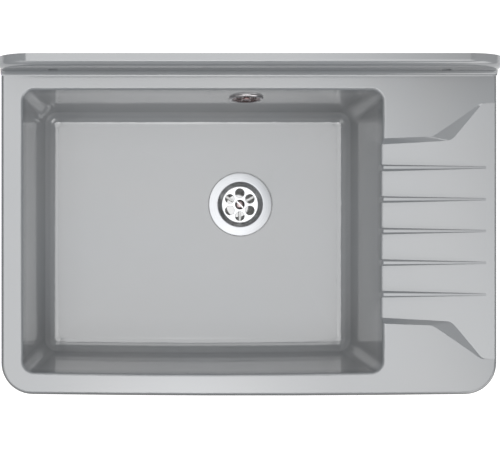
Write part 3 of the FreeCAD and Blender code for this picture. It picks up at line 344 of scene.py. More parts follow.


def make_show_side():
    """Mask: 1 on what the mould shaped. The second output is 1 on the bowl's steep walls, which get a
    paler grey as painted light; the third is 1 on the rounding along the outer edge, which gets a
    darker grey as painted shade. A point is on the show side if it faces up above the underside, or
    lies inside the four sloping planes through the middle of the bowl's walls and above the middle of
    its floor, or stands on the upstand in front of the wall, or is further than the corner radius from
    the corner centres of the outline."""
    tree, _, made = new_group("show_side", [], [
        ("Mask", "NodeSocketFloat"), ("Wall", "NodeSocketFloat"), ("Edge", "NodeSocketFloat")])
    place = add(tree, "ShaderNodeTexCoord")
    at = add(tree, "ShaderNodeSeparateXYZ", {0: place.outputs["Object"]})
    facing = add(tree, "ShaderNodeSeparateXYZ", {0: place.outputs["Normal"]}).outputs["Z"]
    level = at.outputs["Z"]
    past = {}
    for side, ((dx, dy), start) in BOWL_PLANES.items():
        slope = math.tan(math.radians(BOWL_DRAFTS[side]))
        wall = vector_maths(tree, "DOT_PRODUCT", place.outputs["Object"], (dx, dy, -slope))
        past[side] = maths(tree, "SUBTRACT", wall, (dx + dy) * start - BOWL_CORNER_R)
    corner = add(tree, "ShaderNodeCombineXYZ", {
        "X": maths(tree, "MAXIMUM", past["left"], past["right"]),
        "Y": maths(tree, "MAXIMUM", past["front"], past["rear"])})
    spread = vector_maths(tree, "LENGTH", vector_maths(tree, "MAXIMUM", corner.outputs[0], (0, 0, 0)))
    in_bowl = maths(tree, "MULTIPLY", maths(tree, "LESS_THAN", spread, BOWL_CORNER_R + HALF_WALL),
                    maths(tree, "GREATER_THAN", level, FLOOR_MIDDLE))
    faces_up = maths(tree, "MULTIPLY", maths(tree, "GREATER_THAN", facing, FACES_UP),
                     maths(tree, "GREATER_THAN", level, BELOW_PANEL))
    upstand = maths(tree, "MULTIPLY", maths(tree, "GREATER_THAN", level, ABOVE_DECK),
                    maths(tree, "LESS_THAN", at.outputs["Y"], -ABOVE_DECK))
    depth = -sink_low.y - FRONT_BOW
    size = vector_maths(tree, "ABSOLUTE", place.outputs["Object"])
    past_corner = vector_maths(tree, "SUBTRACT", size,
                               (HALF_WIDTH - DECK_CORNER_R, depth - DECK_CORNER_R, 1.0))
    reach = vector_maths(tree, "LENGTH", vector_maths(tree, "MAXIMUM", past_corner, (0, 0, 0)))
    outline = maths(tree, "GREATER_THAN", reach, DECK_CORNER_R - EDGE_ROOM)
    shown = maths(tree, "MAXIMUM", maths(tree, "MAXIMUM", in_bowl, faces_up),
                  maths(tree, "MAXIMUM", upstand, outline))
    # painted light: the steep walls of the bowl, fading in below the rim
    steep = maths(tree, "MULTIPLY", rising(tree, facing, WALL_TURN), rising(tree, level, WALL_FADE))
    # painted shade: a band just below the deck along the rounded outer edge
    rim_top = maths(tree, "MULTIPLY", maths(tree, "GREATER_THAN", level, -EDGE_DROP),
                    maths(tree, "LESS_THAN", level, ABOVE_DECK))
    rim = maths(tree, "MULTIPLY", rim_top,
                maths(tree, "GREATER_THAN", reach, DECK_CORNER_R - EDGE_DROP))
    link_to(tree, made, Mask=shown, Wall=maths(tree, "MULTIPLY", steep, in_bowl),
            Edge=maths(tree, "MULTIPLY", rising(tree, facing, EDGE_TURN), rim))
    return tree


show_side = make_show_side()


def stone_finish():
    """Gel skin: faint clouds and a fine orange peel, with painted light on the bowl's walls and painted
    shade on the rounding of the outer edge. Back: dull and finely pitted.
    """
    material, tree, shader = new_material("gel_coated_stone", IOR=STONE_IOR, Specular_IOR_Level=1.0)
    places = use(tree, show_side)
    side = places.outputs["Mask"]
    # painted light: a paler grey on the bowl's steep walls
    skin = blend(tree, places.outputs["Wall"], grey(STONE_GREY, 0.045), grey(PAINTED_LIGHT_WALL_GREY, 0.02))
    # painted shade: a darker grey on the rounding of the outer edge
    skin = blend(tree, places.outputs["Edge"], skin, grey(PAINTED_SHADE_EDGE_GREY, 0.03))
    gel = use(tree, slow_clouds, Color=skin, Scale=9.0, Amount=0.08, Warmth=0.04)
    raw = use(tree, slow_clouds, Color=grey(RAW_GREY, -0.01), Scale=40.0, Amount=0.2, Warmth=0.05)
    gel_skin = use(tree, fine_skin, Scale=260.0, Roughness=0.09, Spread=0.05)
    raw_skin = use(tree, fine_skin, Scale=600.0, Roughness=0.7, Spread=0.3)
    rough = add(tree, "ShaderNodeMix", {
        0: side, 2: raw_skin.outputs["Roughness"], 3: gel_skin.outputs["Roughness"]}, data_type="FLOAT")
    relief = maths(tree, "MULTIPLY_ADD", side, GEL_RELIEF - 1, 1.0)
    height = maths(tree, "MULTIPLY", raw_skin.outputs["Height"], relief)
    bump = add(tree, "ShaderNodeBump", {"Height": height, "Distance": 0.15 * MM})
    link_to(tree, shader, Base_Color=blend(tree, side, raw.outputs["Color"], gel.outputs["Color"]),
            Roughness=rough.outputs[0], Normal=bump.outputs["Normal"])
    return material


def dress(node, material):
    """Give a carried-over node its finish."""
    for place in nodes[node].material_slots:
        place.material = material
    print(node, "is dressed in", material.name)


dress("sink_body", stone_finish())

# %% [markdown]
# ## Steel, plastic, rubber and brass
# The strainer and the overflow cover are deep-drawn stainless sheet, polished on a lathe, so their
# marks are rings. The screws are turned bar and less bright. The waste, its nuts and the hose are
# moulded plastic with a fine spark-eroded texture. Stainless steel mirrors a little over half of the
# light that meets it, which is why its own colour is a middle grey and not white. The colours given
# to the strainer, the cover and the screws are painted reflections in zones about their axes, and
# the strainer screw's slot has a painted highlight.

# %% Finishes of the small parts
LEVEL = (0.0, 0.0, 0.0)
TILTED = (-OVERFLOW_TILT, 0.0, 0.0)
# painted highlight in a screw's slot
SLOT_PAINTED_HIGHLIGHT = (0.8, 0.8, 0.82, 1)
RING_DENSITY = 1400.0


def turned_metal(name, inner, outer, border, centre, tilt, roughness, spread, relief, streaks=0.3,
                 slot=0.0, slot_tilt=LEVEL):
    """Metal with rings about the given axis. Its colour goes from inner to outer across border, a pair
    of radii in metres. Both colours are painted reflections, fitted to what the piece mirrors in the
    photograph. A screw's slot gets a painted highlight, fitted the same way: points nearer than slot
    to the plane across x in the turned place."""
    material, tree, shader = new_material(name, Metallic=1.0)
    rings = use(tree, turning_rings, Centre=tuple(centre), Tilt=tilt, Density=RING_DENSITY,
                Roughness=roughness, Spread=spread, Streaks=streaks)
    spot = use(tree, axis_place, Centre=tuple(centre), Tilt=tilt)
    # painted reflection: inner colour inside border, outer colour beyond it
    zone = rising(tree, spot.outputs["Radius"], border, kind="SMOOTHSTEP")
    colour = blend(tree, zone, inner, outer)
    # painted highlight: a bright band along the screw's slot
    if slot:
        across = use(tree, axis_place, Centre=tuple(centre), Tilt=slot_tilt)
        axes = add(tree, "ShaderNodeSeparateXYZ", {0: across.outputs["Vector"]})
        slot_highlight_mask = maths(tree, "LESS_THAN", maths(tree, "ABSOLUTE", axes.outputs["X"]), slot)
        colour = blend(tree, slot_highlight_mask, colour, SLOT_PAINTED_HIGHLIGHT)
    streaked = scaled(tree, colour, rings.outputs["Shade"])
    smudge = use(tree, slow_clouds, Color=streaked, Scale=60.0, Amount=0.10, Warmth=0.02)
    bump = add(tree, "ShaderNodeBump", {"Height": rings.outputs["Height"], "Distance": relief})
    link_to(tree, shader, Base_Color=smudge.outputs["Color"], Roughness=rings.outputs["Roughness"],
            Normal=bump.outputs["Normal"])
    return material


def moulded(name, colour, roughness, grain, relief, ior=1.5):
    """Moulded plastic or rubber: a touch of cloud, and the fine texture of the mould."""
    material, tree, shader = new_material(name, IOR=ior)
    clouds = use(tree, slow_clouds, Color=colour, Scale=25.0, Amount=0.06, Warmth=0.02)
    skin = use(tree, fine_skin, Scale=grain, Roughness=roughness, Spread=0.2)
    bump = add(tree, "ShaderNodeBump", {"Height": skin.outputs["Height"], "Distance": relief})
    link_to(tree, shader, Base_Color=clouds.outputs["Color"], Roughness=skin.outputs["Roughness"],
            Normal=bump.outputs["Normal"])
    return material


# painted reflection: a lighter grid and a darker flange
strainer_steel = turned_metal(
    "strainer_sheet_steel", (0.60, 0.61, 0.62, 1), (0.43, 0.44, 0.455, 1), (36 * MM, 40 * MM),
    drain, LEVEL, roughness=0.3, spread=0.15, relief=0.01 * MM, streaks=0.8)
# painted reflection: a dark reddish dish inside a bright rim
cover_steel = turned_metal(
    "cover_sheet_steel", (0.14, 0.07, 0.07, 1), (0.62, 0.60, 0.61, 1), (20 * MM, 23 * MM),
    overflow, TILTED, roughness=0.16, spread=0.1, relief=0.006 * MM, streaks=0.5)
# painted reflection: a pinkish middle and a dark outer ring, with a painted highlight in the slot
strainer_screw_steel = turned_metal(
    "strainer_screw_steel", (0.30, 0.25, 0.25, 1), (0.07, 0.06, 0.06, 1), (3.5 * MM, 7.6 * MM),
    drain, LEVEL, roughness=0.2, spread=0.2, relief=0.01 * MM,
    slot=0.95 * MM, slot_tilt=(0, 0, math.radians(-45)))
# painted glints: a bright pinkish head
cover_screw_steel = turned_metal(
    "cover_screw_steel", (0.85, 0.78, 0.78, 1), (0.60, 0.42, 0.42, 1), (3 * MM, 5 * MM),
    overflow, TILTED, roughness=0.35, spread=0.2, relief=0.01 * MM)
brass = turned_metal(
    "turned_insert_brass", (0.72, 0.53, 0.24, 1), (0.68, 0.49, 0.22, 1), (2 * MM, 5 * MM),
    drain, LEVEL, roughness=0.3, spread=0.2, relief=0.01 * MM)
waste_plastic = moulded("moulded_waste_plastic", (0.80, 0.80, 0.79, 1), 0.42, 1500.0, 0.02 * MM)
nut_plastic = moulded("moulded_nut_plastic", (0.74, 0.74, 0.73, 1), 0.38, 1500.0, 0.02 * MM)
hose_plastic = moulded("blown_hose_plastic", (0.76, 0.76, 0.74, 1), 0.36, 900.0, 0.015 * MM)
rubber = moulded("black_seal_rubber", (0.035, 0.035, 0.036, 1), 0.6, 1200.0, 0.03 * MM)

for node, finish in {
        "strainer_insert": brass, "overflow_insert": brass, "overflow_housing": waste_plastic,
        "flange_seal": rubber, "waste_seal": rubber, "overflow_gasket": rubber,
        "housing_cone_seal": rubber, "waste_cone_seal": rubber}.items():
    dress(node, finish)

# %% [markdown]
# ## Surfaces from numbers
# Every small piece is a surface of two parameters: how far along its section, and how far round its
# axis or along its path. The points are worked out as whole arrays and the faces follow from the
# order of the grid. A round piece could be spun with a tool, but a formula also gives the lugs, the
# threads and the pierced holes. Each shell is welded at its seam and poles. The volume of a closed one
# is printed: a positive value says that its faces point outwards.

# %% Grids, sections and meshes
def grid_faces(rows, columns, wrap_rows=False, wrap_columns=False, offset=0):
    """Quads of a rows x columns grid: each point, the next in its row, and the two above them."""
    row = np.arange(rows if wrap_rows else rows - 1)[:, None]
    column = np.arange(columns if wrap_columns else columns - 1)[None, :]
    next_row, next_column = (row + 1) % rows, (column + 1) % columns
    quads = np.stack([row * columns + column, row * columns + next_column,
                      next_row * columns + next_column, next_row * columns + column], axis=-1)
    return quads.reshape(-1, 4) + offset


def rounded(corners, closed=True, steps=5):
    """Section in millimetres through corners (x, y, radius). At each corner the arc starts radius x
    tan(half the turn) before it and turns evenly about the centre between the two sides."""
    at = np.array([corner[:2] for corner in corners], float)
    pieces = []
    for i, (x, y, radius) in enumerate(corners):
        if radius == 0 or (not closed and i in (0, len(corners) - 1)):
            pieces.append(at[i:i + 1])
            continue
        back, on = at[i - 1] - at[i], at[(i + 1) % len(corners)] - at[i]
        back, on = back / np.linalg.norm(back), on / np.linalg.norm(on)
        turn = math.acos(max(-1.0, min(1.0, -float(back @ on))))
        centre = at[i] + (back + on) / np.linalg.norm(back + on) * radius / math.cos(turn / 2)
        first = at[i] + back * radius * math.tan(turn / 2) - centre
        last = at[i] + on * radius * math.tan(turn / 2) - centre
        share = np.linspace(0, 1, steps + 1)[:, None]
        swept = np.sin((1 - share) * turn) * first + np.sin(share * turn) * last
        pieces.append(centre + swept / math.sin(turn))
    return np.concatenate(pieces)


def finely(section, step, closed=True):
    """The same section with points added so that none are further apart than step."""
    ends = np.roll(section, -1, axis=0) if closed else section[1:]
    starts = section if closed else section[:-1]
    counts = [max(1, math.ceil(np.linalg.norm(b - a) / step)) for a, b in zip(starts, ends)]
    runs = [a + (b - a) * np.linspace(0, 1, count, endpoint=False)[:, None]
            for a, b, count in zip(starts, ends, counts)]
    return np.concatenate(runs if closed else runs + [section[-1:]])


def lathe(section, columns, radius_of=None, closed=True):
    """Section (r, z) turned about Z: x = r cos a, y = r sin a. radius_of(r, z, a) may change r."""
    angle = np.linspace(0, 2 * math.pi, columns, endpoint=False)[None, :]
    radius, height = section[:, :1] + 0 * angle, section[:, 1:] + 0 * angle
    if radius_of:
        radius = radius_of(radius, height, angle + 0 * radius)
    points = np.stack([radius * np.cos(angle), radius * np.sin(angle), height], axis=-1).reshape(-1, 3)
    return points, grid_faces(len(section), columns, closed, True)


def join(*shells):
    """Several (points, faces) as one, with the faces' numbers moved on."""
    starts = np.cumsum([0] + [len(points) for points, faces in shells[:-1]])
    return (np.concatenate([points for points, faces in shells]),
            np.concatenate([faces + start for start, (points, faces) in zip(starts, shells)]))


def turned_about_x(shell, degrees, place):
    """The shell turned about the X axis, then moved to place (millimetres)."""
    points, faces = shell
    c, s = math.cos(math.radians(degrees)), math.sin(math.radians(degrees))
    return points @ np.array([[1, 0, 0], [0, c, s], [0, -s, c]]) + np.array(place), faces


WELD = 1e-6                    # metres


def make_piece(name, shell, material, node, sheet=0.0, crease=35.0, sides_known=False):
    """Mesh from a shell in millimetres. Doubles within a micrometre are welded and collapsed faces
    dissolved. A sheet gets its thickness on the inner side from a Solidify modifier."""
    points, faces = shell
    mesh = bpy.data.meshes.new(name)
    mesh.from_pydata((points * MM).tolist(), [], faces.tolist())
    work = bmesh.new()
    work.from_mesh(mesh)
    bmesh.ops.remove_doubles(work, verts=work.verts, dist=WELD)
    bmesh.ops.dissolve_degenerate(work, edges=work.edges, dist=WELD / 10)
    if not sides_known:
        bmesh.ops.recalc_face_normals(work, faces=work.faces)
    open_edges = sum(1 for edge in work.edges if not edge.is_manifold)
    volume = f"{work.calc_volume(signed=True) / MM ** 3:.0f} mm3" if not open_edges else "a sheet"
    work.to_mesh(mesh)
    work.free()
    mesh.shade_smooth()
    mesh.set_sharp_from_angle(angle=math.radians(crease))
    mesh.materials.append(material)
    piece = bpy.data.objects.new(name, mesh)
    bpy.context.scene.collection.objects.link(piece)
    if sheet:
        wall = piece.modifiers.new("sheet_thickness", "SOLIDIFY")
        wall.thickness, wall.offset = sheet * MM, -1
        wall.use_even_offset = True
    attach(piece, "root")
    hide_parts(node)
    triangles = sum(len(face.vertices) - 2 for face in mesh.polygons)
    print(f"{name}: {triangles} triangles, {volume}, {open_edges} open edges")


# %% [markdown]
# ## Strainer
# One disc of steel, drawn into a shallow cup with a rolled edge and a wide, slightly crowned flange,
# then pierced with six holes round the screw. A boolean would leave long thin triangles round each
# hole. Instead the grid disc is six equal sectors, each a ring of quads from its outline to its hole,
# so the rolled lip of every hole can be shaped by the distance to the hole's edge.

# %% Strainer from a pierced disc and a turned wall
def pierced_disc(level, disc_r, ring_r, hole_r, centre_r, lip, around=16, along=8, inside=6):
    """Disc with six holes. B runs round a sector's outline, C is its hole's centre and u the direction
    from C to B. The points are C + (hole_r + d) u, with d from the gap |B - C| - hole_r down to 0, and
    within a lip of the hole's edge they sink along a quarter circle."""
    half = math.pi / 6
    out = np.linspace(-half, half, around, endpoint=False)
    back = np.linspace(disc_r, centre_r, along, endpoint=False)
    home = np.linspace(half, -half, inside, endpoint=False)
    forth = np.linspace(centre_r, disc_r, along, endpoint=False)
    radius = np.concatenate([0 * out + disc_r, back, 0 * home + centre_r, forth])
    angle = np.concatenate([out, 0 * back + half, home, 0 * forth - half])
    outline = np.stack([radius * np.cos(angle), radius * np.sin(angle)], axis=-1)
    away = outline - np.array([ring_r, 0.0])
    length = np.linalg.norm(away, axis=-1)[None, :]
    gap = length - hole_r
    far = lip + (gap - lip) * np.array([[1.0], [0.6], [0.25]])
    near = lip * np.linspace(1, 0, 7)[:, None] + 0 * gap
    distance = np.concatenate([far, near])
    x = ring_r + away[None, :, 0] / length * (hole_r + distance)
    y = away[None, :, 1] / length * (hole_r + distance)
    sunk = lip - np.sqrt(lip ** 2 - np.clip(lip - distance, 0, lip) ** 2)
    spin = math.pi / 2 + np.arange(6)[:, None, None] * math.pi / 3
    points = np.stack([x * np.cos(spin) - y * np.sin(spin), x * np.sin(spin) + y * np.cos(spin),
                       level - sunk + 0 * spin], axis=-1)
    rows, columns = distance.shape
    faces = np.concatenate([
        grid_faces(rows, columns, False, True, k * rows * columns) for k in range(6)])
    return points.reshape(-1, 3), faces


GRID_LEVEL = -202
TURN_STEPS = 96                # columns of a turned pressing
cup_side = rounded([(55, -191.5, 0), (55, -190.5, 1), (41, -189.3, 6), (38, -189.3, 2.4),
                    (38, -192.3, 1.5), (33, -199, 1), (33, GRID_LEVEL, 2.6), (30, GRID_LEVEL, 0)],
                   closed=False, steps=7)
cup_grid = pierced_disc(GRID_LEVEL, disc_r=30, ring_r=20.2, hole_r=8, centre_r=3.3, lip=0.8)
strainer_shell = turned_about_x(
    join(lathe(cup_side, TURN_STEPS, closed=False), cup_grid), 0, (DRAIN_X, DRAIN_Y, 0))
make_piece("strainer_pressing", strainer_shell, strainer_steel, "strainer_cup",
           sheet=1, crease=50, sides_known=True)

# %% [markdown]
# ## Overflow cover
# The cover is the same kind of pressing, half as large: a rolled rim that stands proud of the bowl's
# wall, a dished middle and six small holes. It is made flat about Z with the same two functions and
# then tilted onto the wall, which leans back by three degrees.

# %% Overflow cover on the leaning wall
ON_WALL = (90 - BOWL_DRAFTS["rear"], (0, -46.935, -56))
DISH_LEVEL = 1.8               # the dished middle above the wall
cover_side = rounded([(27, 0, 0), (27, 3.4, 2.4), (23.2, 3.4, 3), (20.4, DISH_LEVEL, 1.2),
                      (20, DISH_LEVEL, 0)], closed=False, steps=8)
cover_grid = pierced_disc(DISH_LEVEL, disc_r=20, ring_r=13.2, hole_r=4.6, centre_r=2.75, lip=0.7)
make_piece("overflow_cover_pressing",
           turned_about_x(join(lathe(cover_side, TURN_STEPS, closed=False), cover_grid), *ON_WALL),
           cover_steel, "overflow_rosette", sheet=1, crease=50, sides_known=True)

# %% [markdown]
# ## Screws
# Both screws have a slotted dome head. The head's grid is not polar: its columns stand across the slot,
# so two doubled columns make the slot's straight walls, and its rows follow each chord of the circle.
# The shank is a second closed shell with a thread, whose groove climbs by one pitch in a turn.

# %% Slotted screws
def thread_groove(z, angle, pitch, depth):
    """Depth of a V groove: a triangle wave of z / pitch less the share of a turn."""
    phase = np.mod(z / pitch - angle / (2 * math.pi), 1.0)
    return depth * (1 - np.abs(2 * phase - 1))


def slotted_head(head_r, height, rim, slot_width, slot_depth):
    """Dome z = height - R + sqrt(R^2 - r^2), rounded off at its rim and lowered to the slot's floor
    between the two middle columns. y = v sqrt(head_r^2 - x^2), with v over the top and back below."""
    dome_r = (head_r ** 2 + (height - rim) ** 2) / (2 * (height - rim))
    side = slot_width / 2 + (head_r - slot_width / 2) * np.sin(np.linspace(0, math.pi / 2, 12))
    across = np.concatenate([-side[::-1], [-slot_width / 2, slot_width / 2], side])[None, :]
    in_slot = np.zeros(across.shape, bool)
    in_slot[0, 12:14] = True
    v = np.sin(np.linspace(-math.pi / 2, math.pi / 2, 25))[:, None]
    chord = np.sqrt(np.clip(head_r ** 2 - across ** 2, 0, None))
    r = np.minimum(np.hypot(across + 0 * v, v * chord), head_r)
    edge = 0.5 * rim
    top = height - dome_r + np.sqrt(dome_r ** 2 - r ** 2)
    top -= edge - np.sqrt(edge ** 2 - np.clip(r - head_r + edge, 0, edge) ** 2)
    top = np.where(in_slot, np.minimum(top, height - slot_depth), top)
    v_below = np.array([[1.0], [0.0], [-1.0]])
    x = np.concatenate([across + 0 * v, across + 0 * v_below])
    y = np.concatenate([v * chord, v_below * chord])
    z = np.concatenate([top, 0 * v_below * chord])
    return np.stack([x, y, z], axis=-1).reshape(-1, 3), grid_faces(len(x), x.shape[1], True, False)


def slotted_screw(head_r, height, rim, slot_width, slot_depth, slot_angle, shank_r, length, pitch):
    """Head with its slot turned to slot_angle, and a threaded shank from z = 0 down to -length."""
    points, faces = slotted_head(head_r, height, rim, slot_width, slot_depth)
    a = math.radians(slot_angle - 90)
    c, s = math.cos(a), math.sin(a)
    points = points @ np.array([[c, s, 0], [-s, c, 0], [0, 0, 1]])
    side = finely(np.array([(0, -length), (shank_r * 2 / 3, -length), (shank_r, -length + shank_r / 3),
                            (shank_r, 0.3), (0, 0.3)], float), pitch / 8, closed=False)
    shank = lathe(side, 24, lambda r, z, a: r - thread_groove(z, a, pitch, 0.12 * shank_r)
                  * (r > 0.7 * shank_r) * np.clip((-z - 1) / 1.5, 0, 1), closed=False)
    return join((points, faces), shank)


strainer_bolt = slotted_screw(head_r=8.6, height=3.2, rim=1.2, slot_width=1.8, slot_depth=1.6,
                              slot_angle=-45, shank_r=3, length=24, pitch=1.0)
make_piece("strainer_screw_turned", turned_about_x(strainer_bolt, 0, (DRAIN_X, DRAIN_Y, GRID_LEVEL)),
           strainer_screw_steel, "strainer_screw", crease=30)
cover_bolt = slotted_screw(head_r=5.6, height=2.2, rim=0.7, slot_width=1.4, slot_depth=1.1,
                           slot_angle=90, shank_r=2.5, length=22, pitch=0.8)
cover_bolt = turned_about_x(cover_bolt, 0, (0, 0, DISH_LEVEL))
make_piece("overflow_screw_turned", turned_about_x(cover_bolt, *ON_WALL),
           cover_screw_steel, "overflow_screw", crease=30)

# %% [markdown]
# ## Waste body
# Below the sink hangs a moulded chamber that narrows to a threaded outlet. Its section is turned like
# that of a pot, and the radius of each point is then changed where it has to be: ten lugs for the
# hand that tightens it stand proud, with the hose's port where two more would be, and the thread's
# groove is cut in. The spider inside, which takes the strainer's screw, and the port are further
# shells that run into the wall.

# %% Waste body
CHAMBER_R, OUTLET_R, PORT_R = 46, 23.9, 12.4
CHAMBER_TOP, OUTLET_END = -203, -282
OUTLET_PITCH, PORT_PITCH = 2.309, 1.814
THREAD_FOOT, THREAD_TOP = -281.4, -264.2
PORT_LEVEL = -232              # axis of the port that takes the hose
LUG_ANGLES = np.radians(15 + 30 * np.arange(12))
in_the_way = (np.sin(LUG_ANGLES) >= 0) & (np.abs(CHAMBER_R * np.cos(LUG_ANGLES)) <= PORT_R)
LUG_ANGLES = LUG_ANGLES[~in_the_way]
LUG_PROUD, LUG_FOOT, LUG_TOP = 2, -224.4, -207.9


def chamber_radius(r, z, angle):
    """Radius + 2 mm on a lug (a flat top with sloping flanks) - the outlet thread's groove."""
    turn = np.abs((angle[..., None] - LUG_ANGLES + math.pi) % (2 * math.pi) - math.pi).min(axis=-1)
    flank = np.clip((1.8 - CHAMBER_R * turn) / 0.5, 0, 1)
    lug = flank * np.clip((z - LUG_FOOT) / 1.2, 0, 1) * (z < LUG_TOP) * (np.abs(r - CHAMBER_R) < 0.5)
    groove = thread_groove(z, angle, OUTLET_PITCH, 1.1) * np.clip(z - THREAD_FOOT, 0, 1)
    return r + LUG_PROUD * lug - groove * ((r > 23.5) & (z < THREAD_TOP))


def lathe_with_lugs(section, radius_of, offsets):
    """A lathe whose columns are evenly spread, with extra ones this far from each lug's middle,
    measured round the chamber."""
    even = np.linspace(0, 2 * math.pi, 120, endpoint=False)
    extra = (LUG_ANGLES[:, None] + np.array(offsets)[None, :] / CHAMBER_R).ravel() % (2 * math.pi)
    angle = np.unique(np.round(np.concatenate([even, extra]), 5))[None, :]
    height = section[:, 1:] + 0 * angle
    radius = radius_of(section[:, :1] + 0 * angle, height, angle + 0 * height)
    points = np.stack([radius * np.cos(angle), radius * np.sin(angle), height], axis=-1).reshape(-1, 3)
    return points, grid_faces(len(section), angle.shape[1], True, True)


def bar(width, height, start, end, z_top, angle, soft=0.6):
    """A flat arm: a rounded rectangle carried from start to end along one direction. Both ends close
    in its middle."""
    ring = rounded([(-width / 2, -height, soft), (width / 2, -height, soft), (width / 2, 0, soft),
                    (-width / 2, 0, soft)], steps=3)
    reach = np.array([start, start, end, end], float)[:, None]
    size = np.array([0.0, 1.0, 1.0, 0.0])[:, None]
    along = reach + 0 * ring[None, :, 0]
    side = ring[None, :, 0] * size
    z = z_top - height / 2 + (ring[None, :, 1] + height / 2) * size
    c, s = math.cos(angle), math.sin(angle)
    points = np.stack([along * c - side * s, along * s + side * c, z], axis=-1).reshape(-1, 3)
    return points, grid_faces(4, len(ring), False, True)


chamber_side = rounded(
    [(20.5, OUTLET_END, 0.5), (22.9, OUTLET_END, 0), (OUTLET_R, OUTLET_END + 1, 0)]
    + [(OUTLET_R, z, 0) for z in np.arange(-280.8, -264, 0.23)]
    + [(OUTLET_R, -264, 0), (23.0, -264, 0), (23.0, -259, 2), (CHAMBER_R, -243, 4)]
    + [(CHAMBER_R, z, 0) for z in (-230, -225, LUG_FOOT, -223.8, -223.2, -216)]
    + [(CHAMBER_R, -208, 0.8), (57, -208, 0.8), (57, CHAMBER_TOP, 0.8), (43, CHAMBER_TOP, 0.8),
       (43, -243, 4), (20.5, -256, 4)])
chamber = lathe_with_lugs(chamber_side, chamber_radius, (-1.9, -1.6, -1.3, -0.6, 0.6, 1.3, 1.6, 1.9))
boss = lathe(rounded([(3.25, -221, 0), (8.5, -221, 0.8), (8.5, CHAMBER_TOP, 0.5), (5, CHAMBER_TOP, 0),
                      (5, -215, 0), (3.25, -215, 0)]), 48)
arms = [bar(width=4, height=18, start=6, end=44.5, z_top=CHAMBER_TOP, angle=math.radians(a))
        for a in (-90, 30, 150)]
port_side = rounded([(9.2, -17, 0), (PORT_R, -17, 0)]
                    + [(PORT_R, z, 0) for z in np.arange(-12.6, -0.8, 0.2)]
                    + [(PORT_R, 0, 0.5), (11.6, 0, 0), (9.2, -2.4, 0)])
port = lathe(port_side, 64, lambda r, z, a: r - thread_groove(z, a, PORT_PITCH, 0.8) * (r > 12.3)
             * np.clip((z + 12.4) / 0.6, 0, 1) * np.clip(-z / 0.8, 0, 1))
port = turned_about_x(port, -90, (0, 60, PORT_LEVEL))
waste_shell = turned_about_x(join(chamber, boss, *arms, port), 0, (DRAIN_X, DRAIN_Y, 0))
make_piece("waste_body_moulding", waste_shell, waste_plastic, "waste_body", crease=32)

# %% [markdown]
# ## Union nuts and ribbed hose
# A nut with ten rounded lugs holds each end of the hose against its conical seal. A lug is part of a
# circle about a centre near the nut's rim, so the radius follows from where a ray from the axis leaves
# that circle. The hose hangs between two fixed ends: straight down, one wide bend, and level to the
# waste. Its section is carried along that line, and its radius rises and falls once for every rib.

# %% Union nuts
HOSE_Y = -21.935               # where the hose hangs down behind the bowl
NUT_R = 15
NUT_LUGS = 10
NUT_LUG_R, NUT_LUG_AT = 2, 13.6   # a lug's radius, and how far its centre is from the axis


def nut_radius(r, z, angle):
    """Radius, or where the ray leaves a lug's circle: c cos t + sqrt(R^2 - c^2 sin^2 t)."""
    half = math.pi / NUT_LUGS
    turn = (angle + half) % (2 * half) - half
    aside = NUT_LUG_AT * np.sin(turn)
    ray = NUT_LUG_AT * np.cos(turn) + np.sqrt(np.clip(NUT_LUG_R ** 2 - aside ** 2, 0, None))
    proud = np.clip(ray - NUT_R, 0, None) * (np.abs(aside) < NUT_LUG_R)
    ends = np.clip((z + 10) / 0.5, 0, 1) * np.clip((5.6 - z) / 0.5, 0, 1)
    return r + proud * ends * (r > NUT_R - 0.1)


nut_side = rounded([(12.65, -11, 0.3), (NUT_R, -11, 0.6)]
                   + [(NUT_R, z, 0) for z in (-10, -9.5, 5.1, 5.59)]
                   + [(NUT_R, 6.6, 1), (9.05, 6.6, 0.5), (9.05, 4, 0), (12.65, 4, 0)])
nut = lathe(nut_side, 240, nut_radius)
for name, node, degrees, spot in (
        ("waste_nut_moulding", "waste_hose_nut", -90, (DRAIN_X, -150, PORT_LEVEL)),
        ("housing_nut_moulding", "housing_hose_nut", 180, (0, HOSE_Y, -96.5))):
    make_piece(name, turned_about_x(nut, degrees, spot), nut_plastic, node, crease=28)


# %% Ribbed hose
HOSE_TOP = -88.5
HOSE_BEND = 72.0
HOSE_DOWN = 71.5
HOSE_LEVEL = 64.065            # length of the level run into the waste
HOSE_TURN = HOSE_BEND * math.pi / 2
HOSE_LENGTH = HOSE_DOWN + HOSE_TURN + HOSE_LEVEL
HOSE_CUFF = 20.6               # length of each plain end
HOSE_CUFF_R, HOSE_ROOT_R, HOSE_RIB_RISE, HOSE_BORE_R = 8.8, 8.6, 1.35, 7.6
HOSE_RIBS, HOSE_COLUMNS = 47, 36


def hose_line(s):
    """Centre line and its heading by length s: straight down, a quarter circle, then straight back."""
    bend = np.clip((s - HOSE_DOWN) / HOSE_BEND, 0, math.pi / 2)
    level = np.clip(s - HOSE_DOWN - HOSE_TURN, 0, None)
    y = HOSE_Y - HOSE_BEND * (1 - np.cos(bend)) - level
    z = HOSE_TOP - np.clip(s, 0, HOSE_DOWN) - HOSE_BEND * np.sin(bend)
    return y, z, bend


def hose_outside(s):
    """Cuff radius at the ends; between them root + rise x smoothstep of the distance to the middle of
    the nearest groove."""
    pitch = (HOSE_LENGTH - 2 * HOSE_CUFF) / HOSE_RIBS
    phase = (s - HOSE_CUFF) / pitch % 1.0
    rise = np.clip((np.minimum(phase, 1 - phase) - 0.05) / 0.2, 0, 1)
    ribbed = HOSE_ROOT_R + HOSE_RIB_RISE * rise ** 2 * (3 - 2 * rise)
    return np.where((s < HOSE_CUFF) | (s > HOSE_LENGTH - HOSE_CUFF), HOSE_CUFF_R, ribbed)


